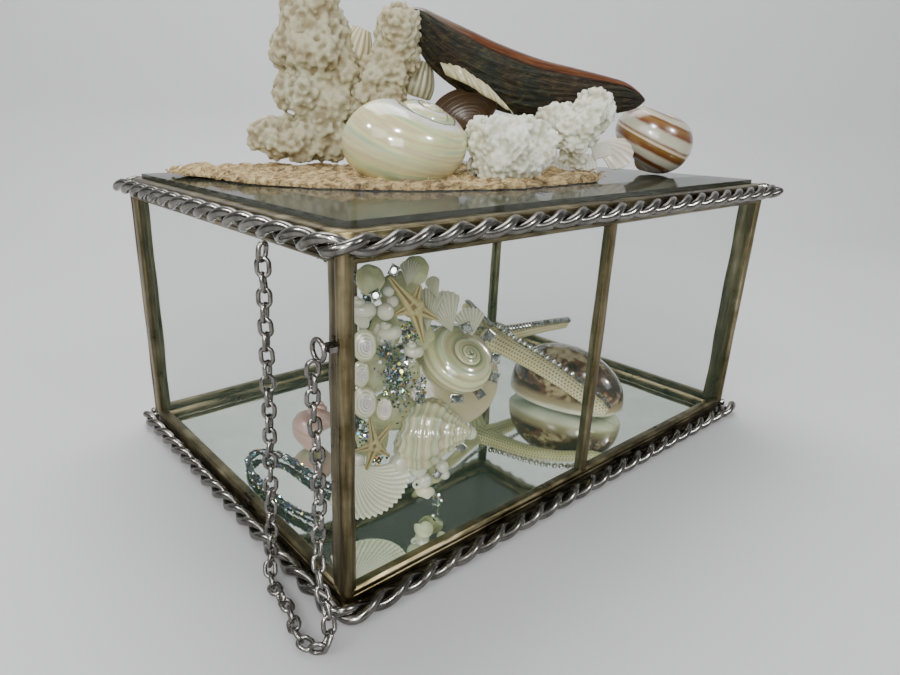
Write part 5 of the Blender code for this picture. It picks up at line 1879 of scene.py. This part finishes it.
# The smaller shells on the lid
def build_lid_shells():
    RIDGED_CREAM = fan_look("ridged_cream", (0.78, 0.71, 0.46), (0.46, 0.39, 0.21))
    RIDGED_GREY = fan_look("ridged_grey", (0.60, 0.58, 0.38), (0.25, 0.225, 0.12), 0.4)
    for name, base, tip, radius, node, look in (
            ("ridged_barrel_left", (351, 62), (362, 29), 6.0, "ridged_shell_left", RIDGED_CREAM),
            ("ridged_barrel_right", (414, 96), (424, 62), 5.8, "ridged_shell_right", RIDGED_GREY)):
        anchor = (-35.6, 17.6, 147.2) if "left" in name else (-20.4, 5.4, 134)
        put = facing(anchor)
        a, b = put(*base), put(*tip)
        along = unit(b - a)
        one = unit(np.cross(along, LEVEL))
        two = np.cross(one, along)
        rows, cols = 26, 96
        mesh = Mesh()
        verts = np.zeros((rows, cols, 3))
        shade = np.zeros((rows, cols))
        for i, t in enumerate(np.linspace(0, 1, rows)):
            girth = radius * (0.80 + 0.35 * math.sin(math.pi * min(1, 0.15 + t * 0.9))) * (1 - 0.30 * t)
            if i in (0, rows - 1):
                girth *= 0.93
            for j in range(cols):
                c, s = math.cos(TAU * j / cols), math.sin(TAU * j / cols)
                rib = math.cos(16 * TAU * j / cols)
                r = girth * (1 + 0.035 * rib)
                verts[i, j] = a + (b - a) * t + (one * c + two * s) * r
                # valleys between the ribs get low shade and are painted darker: painted shade
                shade[i, j] = 0.5 + 0.5 * rib
        mesh.add(verts, quads(rows, cols), shade.ravel(), np.repeat(np.linspace(0, 1, rows), cols))
        mesh.close(0, rows, cols, outward=False)
        make(name, mesh, look, "lid", (node,), sharp=60)

    # a brown valve that opens towards the front, with a thick frilled cream rim
    valve, frill = Mesh(), Mesh()
    anchor = (-7.6, -19.2, 128.2)
    put = facing(anchor)
    middle = put(462, 108, 1.0)
    out = unit(-AHEAD * 0.86 + UP * 0.28 - RIGHT * 0.35)
    up = unit(UP - out * np.dot(UP, out))
    side = np.cross(up, out)
    rows, cols = 30, 72
    verts = np.zeros((rows, cols, 3))
    tone = np.zeros((rows, cols))
    for i, t in enumerate(np.linspace(0.03, 1.0, rows)):
        for j in range(cols):
            a = TAU * j / cols
            r = 10.2 * t * (1 + 0.05 * math.cos(a - 0.6))
            depth = -7.5 * (1 - t ** 2.2) + 0.10 * math.cos(t * 60)
            verts[i, j] = (middle + side * r * math.cos(a) * 1.12
                           + up * r * 0.80 * math.sin(a) + out * depth)
            tone[i, j] = t
    total = rows * cols
    back = verts - out * 1.0
    valve.add(np.vstack((verts.reshape(-1, 3), back.reshape(-1, 3))),
              np.vstack((quads(rows, cols), quads(rows, cols)[:, ::-1] + total)), 0.5,
              np.concatenate((tone.ravel(), tone.ravel())))
    valve.faces.append([[(rows - 1) * cols + j, total + (rows - 1) * cols + j,
                         total + (rows - 1) * cols + (j + 1) % cols,
                         (rows - 1) * cols + (j + 1) % cols] for j in range(cols)])
    valve.faces.append([list(range(cols))[::-1], [total + j for j in range(cols)]])
    brown = Look("brown_valve", 0.35, 0.0)
    ring = brown.noise(1.0, 4, 0.6, brown.node("CombineXYZ",
                                              X=brown.math("MULTIPLY", brown.attr("tone"), 26.0)))
    brown.colour(brown.ramp(ring, (0.32, (0.028, 0.013, 0.005)), (0.5, (0.065, 0.034, 0.012)),
                            (0.68, (0.13, 0.08, 0.03))))
    brown.bump(ring, 0.3, 0.0004)
    make("brown_valve_shell", valve, brown.mat, "lid", ("ruffled_shell",), sharp=60)
    edge = [(443, 69), (456, 73), (468, 78), (479, 86),
            (491, 93), (502, 103), (511, 111), (515, 118)]
    path = curve([put(px, py, -1.0 - 0.10 * (px - 443)) for px, py in edge], 0.45)
    count = len(path)
    part = np.linspace(0, 1, count)
    wave = 0.8 * np.sin(part * 62) + 0.5 * np.sin(part * 101 + 1)
    cols = 18
    verts = np.zeros((count, cols, 3))
    for i in range(count):
        t = part[i]
        wide = 6.6 * math.sin(math.pi * min(1, t + 0.12)) ** 0.5 + 0.3
        for j in range(cols):
            a = TAU * j / cols
            c = math.cos(a)
            low = (UP * 0.75 + RIGHT * -0.35) * (c * wide * 0.62 + wave[i] * 0.5 * (c > 0))
            verts[i, j] = path[i] + low - LEVEL * math.sin(a) * 0.95 + LEVEL * wave[i] * 0.4
    frill.add(verts, quads(count, cols)[:, ::-1])
    frill.close(0, count, cols, outward=False)
    make("frilled_rim", frill, CREAM_SHELL.mat, "lid", ("ruffled_shell",))

    # white shell and ribbed chips beside the striped snail
    mesh = Mesh()
    hinge = facing((44.4, -36.2, 108.3))(592, 141)
    rim = unit(RIGHT * 0.86 - UP * 0.50)
    outward = unit(-AHEAD * 0.9 + UP * 0.5)
    outward = unit(outward - rim * np.dot(outward, rim))
    cockle(mesh, hinge, rim, np.cross(outward, rim), outward, 16.0, math.radians(40), 6, 3.0, per=9,
           notch=0.01, relief=0.010)
    mesh.keep_above(SHELF + GAP)
    white = fan_look("white_valve", (0.80, 0.78, 0.66), (0.55, 0.46, 0.30), 0.35)
    make("white_valve", mesh, white, "lid", ("white_shell",), sharp=60)
    chips = Mesh()
    put = facing((29.2, -32.6, 105.3))
    for px, py, wide, tall, lean in ((577, 164, 42, 20, 0.05), (560, 165, 18, 14, -0.25),
                                     (602, 150, 20, 15, 0.3)):
        rows, cols = 14, 60
        middle = put(px, py, 2.0)
        flat = unit(RIGHT + UP * lean)
        high = unit(UP - flat * np.dot(UP, flat))
        outward = np.cross(flat, high)
        verts, low = [], []
        for i, u in enumerate(np.linspace(-0.5, 0.5, rows)):
            for j, w in enumerate(np.linspace(-0.5, 0.5, cols)):
                rib = 0.20 * math.cos(j * TAU / 5.0)
                spot = (middle + (flat * w * wide + high * u * tall) * CHIP_SCALE
                        + outward * (1.6 * (0.25 - w * w) + rib))
                verts.append(spot)
                low.append(spot - outward * 1.1)
        total = rows * cols
        base = chips.count
        chips.add(np.vstack((verts, low)),
                  # valleys between the ribs get low shade and are painted darker: painted shade
                  np.vstack((quads(rows, cols, False, False),
                             quads(rows, cols, False, False)[:, ::-1] + total)),
                  np.tile(0.5 + 0.5 * np.cos(np.arange(cols) * TAU / 5.0), rows * 2))
        edges = [(j, j + 1) for j in range(cols - 1)]
        edges += [(i * cols + cols - 1, (i + 1) * cols + cols - 1) for i in range(rows - 1)]
        edges += [((rows - 1) * cols + j + 1, (rows - 1) * cols + j) for j in range(cols - 1)]
        edges += [((i + 1) * cols, i * cols) for i in range(rows - 1)]
        chips.faces.append([[base + a, base + a + total, base + b + total, base + b] for a, b in edges])
    chips.keep_above(SHELF + GAP)
    make("ribbed_chips", chips, fan_look("white_chips", (0.92, 0.91, 0.84), (0.70, 0.68, 0.58), 0.45),
         "lid", ("white_chips",), sharp=60)


CHIP_SCALE = 0.345           # millimetres per pixel at the chips
CREAM_SHELL = pearl_look("frilled_cream", (0.62, 0.59, 0.38), (0.42, 0.37, 0.19), 0.32, 4.0, 0.08)
build_lid_shells()


# Studio, lights and the camera of the photograph
def studio():
    ground = Look("backdrop", 0.75, 0.0)
    cloth = ground.noise(3.0, 3, 0.5)
    ground.colour(ground.ramp(cloth, (0.3, (0.67, 0.67, 0.675)), (0.7, (0.71, 0.71, 0.715))))
    across = np.array((RIGHT[0], RIGHT[1], 0.0))
    across /= np.linalg.norm(across)
    profile = [(-1500.0, 0.0)] + [(430 + 160 * math.sin(t), 160 - 160 * math.cos(t))
                                  for t in np.linspace(0, math.radians(80), 14)]
    profile.append((690.0, 1500.0))
    mesh = Mesh()
    verts = [LEVEL * out + across * w + np.array((0, 0, z)) for out, z in profile
             for w in (-2600.0, 2600.0)]
    mesh.add(verts, quads(len(profile), 2, False, False))
    ob = make("backdrop", mesh, ground.mat, None)


def lamp(name, place, size, watts, glint=False, height=0.05):
    """An area light that looks at the box; a glint shows in reflections alone."""
    data = bpy.data.lights.new(name, "AREA")
    data.shape = "RECTANGLE"
    data.size = data.size_y = size
    data.energy = watts
    ob = bpy.data.objects.new(name, data)
    bpy.context.scene.collection.objects.link(ob)
    ob.location = place
    ob.visible_diffuse = not glint
    way = Vector((0, 0, height)) - Vector(place)
    ob.rotation_euler = way.to_track_quat("-Z", "Y").to_euler()


def light():
    world = bpy.data.worlds.new("studio")
    world.use_nodes = True
    world.node_tree.nodes["Background"].inputs["Color"].default_value = (0.93, 0.96, 1.0, 1.0)
    world.node_tree.nodes["Background"].inputs["Strength"].default_value = 0.30
    bpy.context.scene.world = world
    lamp("top", (0.20, 0.42, 1.05), 0.75, 12.0)
    lamp("left", (-0.95, -0.15, 0.75), 0.55, 4.0)
    lamp("front", (0.25, -1.0, 0.8), 0.5, 2.0)
    lamp("fill", (-0.85, -0.85, 0.46), 0.55, 8.5, height=0.08)
    lamp("glint_high", (-0.45, -0.55, 0.95), 0.08, 11.0, True)
    lamp("glint_side", (-0.75, 0.30, 0.80), 0.07, 6.0, True)
    lamp("glint_front", (0.35, -0.80, 0.70), 0.07, 6.0, True)
    lamp("glint_near", (-0.62, -0.42, 0.42), 0.05, 4.0, True)


def camera():
    data = bpy.data.cameras.new("photo")
    data.lens = LENS
    data.sensor_width = SENSOR
    data.shift_x, data.shift_y = SHIFT
    data.clip_start = 0.01
    data.clip_end = 20.0
    ob = bpy.data.objects.new("photo", data)
    bpy.context.scene.collection.objects.link(ob)
    turn = Matrix((RIGHT, UP, -AHEAD)).transposed().to_4x4()
    ob.matrix_world = Matrix.Translation(Vector(EYE) * MM) @ turn
    bpy.context.scene.camera = ob


studio()
light()
camera()
